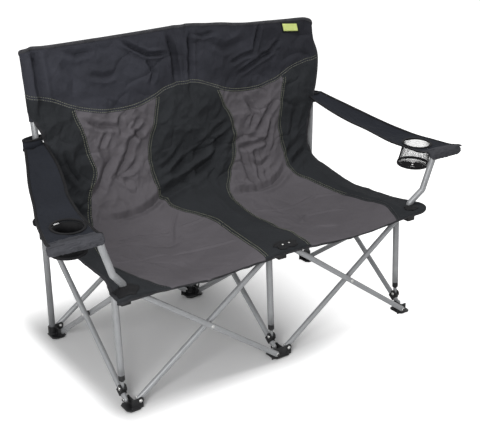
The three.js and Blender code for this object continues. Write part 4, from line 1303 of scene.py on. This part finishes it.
def cup_net(name, centre):
    """Diamond netting for the cup's wall and floor, each strand a thin square wire."""
    around, verts, faces = 76, [], []
    profile = [(0.0425 + 0.0063 * k / 24, -0.001 - 0.0029 * k) for k in range(25)]
    profile += [(0.0470, -0.0722), (0.0445, -0.0730)]
    profile += [(0.0445 - 0.0034 * k, -0.0732) for k in range(1, 13)]
    for j, (r, z) in enumerate(profile):
        for i in range(around):
            a = 2 * math.pi * (i + 0.5 * (j % 2)) / around
            slack = 1 + 0.012 * math.sin(3 * a + z * 60)
            verts.append(in_cup(centre, r * slack * math.cos(a), r * slack * math.sin(a), z))
    for j in range(len(profile) - 2):
        for i in range(around):
            left, right = (i - 1 + j % 2) % around, (i + j % 2) % around
            corners = ((0, i), (1, right), (2, i), (1, left))
            faces.append(tuple((j + row) * around + column for row, column in corners))
    obj = new_object(f"cup_{name}_net", verts, faces, [NET], smooth=False)
    wire = obj.modifiers.new("strands", "WIREFRAME")
    wire.thickness = 0.0009
    wire.use_even_offset = False
    return baked(obj)


def cup(name, out):
    """A cup holder: its net, with a ring round its mouth and one round its floor."""
    centre = (out * (SPACING + CUP_AT[0]), FRONT_Y + CUP_AT[1], CUP_Z)
    net = placed(cup_net(name, centre), "cup_fabric", f"hub_{name}", f"cup_{name}")
    rings = [(*cup_ring(centre, 0.0435, 0.0020, 0.0038, 0.0022), 0),
             (*cup_ring(centre, 0.0488, -0.0675, 0.0020, 0.0048), 0)]
    if out < 0:
        rings.append((*cup_liner(centre), 0))
    rings = joined(f"cup_{name}_rings", rings, [BINDING], "cup_fabric", f"hub_{name}")


def arm(name, out):
    body = f"hub_{name}"
    cloth = placed(arm_cloth(name, out), "charcoal_cloth", body, f"arm_cloth_{name}")
    edging = arm_binding(out) + arm_stitches(out) + ([(*strap_end(), 0)] if out < 0 else [])
    edging = joined(f"arm_{name}_binding", edging, [BINDING, DARK_THREAD], "charcoal_cloth", body)
    # The roll is the arm's cloth in its lighter copy, which is painted highlight
    roll = joined(f"arm_{name}_roll", [(*arm_roll(out), 0)], [ROLL], "charcoal_cloth", body)
    pocket = joined(f"arm_{name}_pocket", arm_pocket(out), [ARM, BINDING], "charcoal_cloth", body)
    for piece in (cloth, edging, roll, pocket):
        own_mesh(piece)


def arms():
    for name, out in (("left", -1), ("right", 1)):
        arm(name, out)
        cup(name, out)


arms()


# Studio

FLOOR_SIZE = 30
AIM = (0, 0, 0.35)


def floor_material():
    """White paper that shows the chair's shadow under its seat, in full only under the left bay; a glow seen
    only by the camera, none there and growing with distance from it, paints light over the rest of the shadow
    and runs out to plain white round it.
    """
    mat, tree, shader, _ = new_material("paper_floor", (0.9, 0.9, 0.9), 0.9, specular=0.0)
    glow = tree.nodes.new("ShaderNodeEmission")
    glow.inputs["Color"].default_value = (1, 1, 1, 1)
    place = tree.nodes.new("ShaderNodeSeparateXYZ")
    tree.links.new(tree.nodes.new("ShaderNodeNewGeometry").outputs["Position"], place.inputs["Vector"])
    x, y = place.outputs["X"], place.outputs["Y"]
    # Distance from a box under the left bay, growing fast to the left and slowly to the right; the glow it
    # drives is painted light on the floor and on the chair's shadow
    far = 0.0
    for larger, smaller, weight in ((-0.50, x, 5.0), (x, -0.02, 1.15), (-0.23, y, 2.8), (y, 0.25, 1.7)):
        reach = maths(tree, "MAXIMUM", maths(tree, "SUBTRACT", larger, smaller), 0.0)
        reach = maths(tree, "MULTIPLY", reach, weight)
        far = maths(tree, "ADD", maths(tree, "MULTIPLY", reach, reach), far)
    glowing = mapped(tree, maths(tree, "SQRT", far), 0.0, 0.85, end=0.55, kind="SMOOTHSTEP")
    seen = tree.nodes.new("ShaderNodeLightPath").outputs["Is Camera Ray"]
    tree.links.new(maths(tree, "MULTIPLY", seen, glowing), glow.inputs["Strength"])
    both = tree.nodes.new("ShaderNodeAddShader")
    tree.links.new(shader.outputs["BSDF"], both.inputs[0])
    tree.links.new(glow.outputs["Emission"], both.inputs[1])
    tree.links.new(both.outputs["Shader"], tree.nodes["Material Output"].inputs["Surface"])
    return mat


def studio_world():
    """White to the camera and in reflections, and dimmer as a light."""
    world = bpy.data.worlds.new("studio")
    bpy.context.scene.world = world
    world.use_nodes = True
    tree = world.node_tree
    background = tree.nodes["Background"]
    background.inputs["Color"].default_value = (1, 1, 1, 1)
    ray = tree.nodes.new("ShaderNodeLightPath").outputs
    seen = maths(tree, "MAXIMUM", ray["Is Glossy Ray"], ray["Is Transmission Ray"])
    seen = maths(tree, "MAXIMUM", ray["Is Camera Ray"], seen)
    tree.links.new(mapped(tree, seen, 0.32, 1.0), background.inputs["Strength"])


def lamp(name, place, size, watts):
    data = bpy.data.lights.new(name, "AREA")
    data.shape = "DISK"
    data.size = size
    data.energy = watts
    obj = bpy.data.objects.new(name, data)
    bpy.context.scene.collection.objects.link(obj)
    obj.location = place
    obj.rotation_mode = "QUATERNION"
    obj.rotation_quaternion = (Vector(AIM) - Vector(place)).to_track_quat("-Z", "Y")


def studio():
    corners = [(x * FLOOR_SIZE, y * FLOOR_SIZE, 0) for x, y in ((-1, -1), (1, -1), (1, 1), (-1, 1))]
    floor = new_object("floor", corners, [(0, 1, 2, 3)], [floor_material()])
    studio_world()
    lamp("key", (-1.9, -1.75, 1.35), 1.0, 37)
    lamp("fill", (2.4, -1.2, 1.6), 1.4, 8)
    lamp("top", (-0.15, -0.35, 3.6), 1.4, 42)
    bpy.context.scene.view_settings.view_transform = "Standard"


studio()
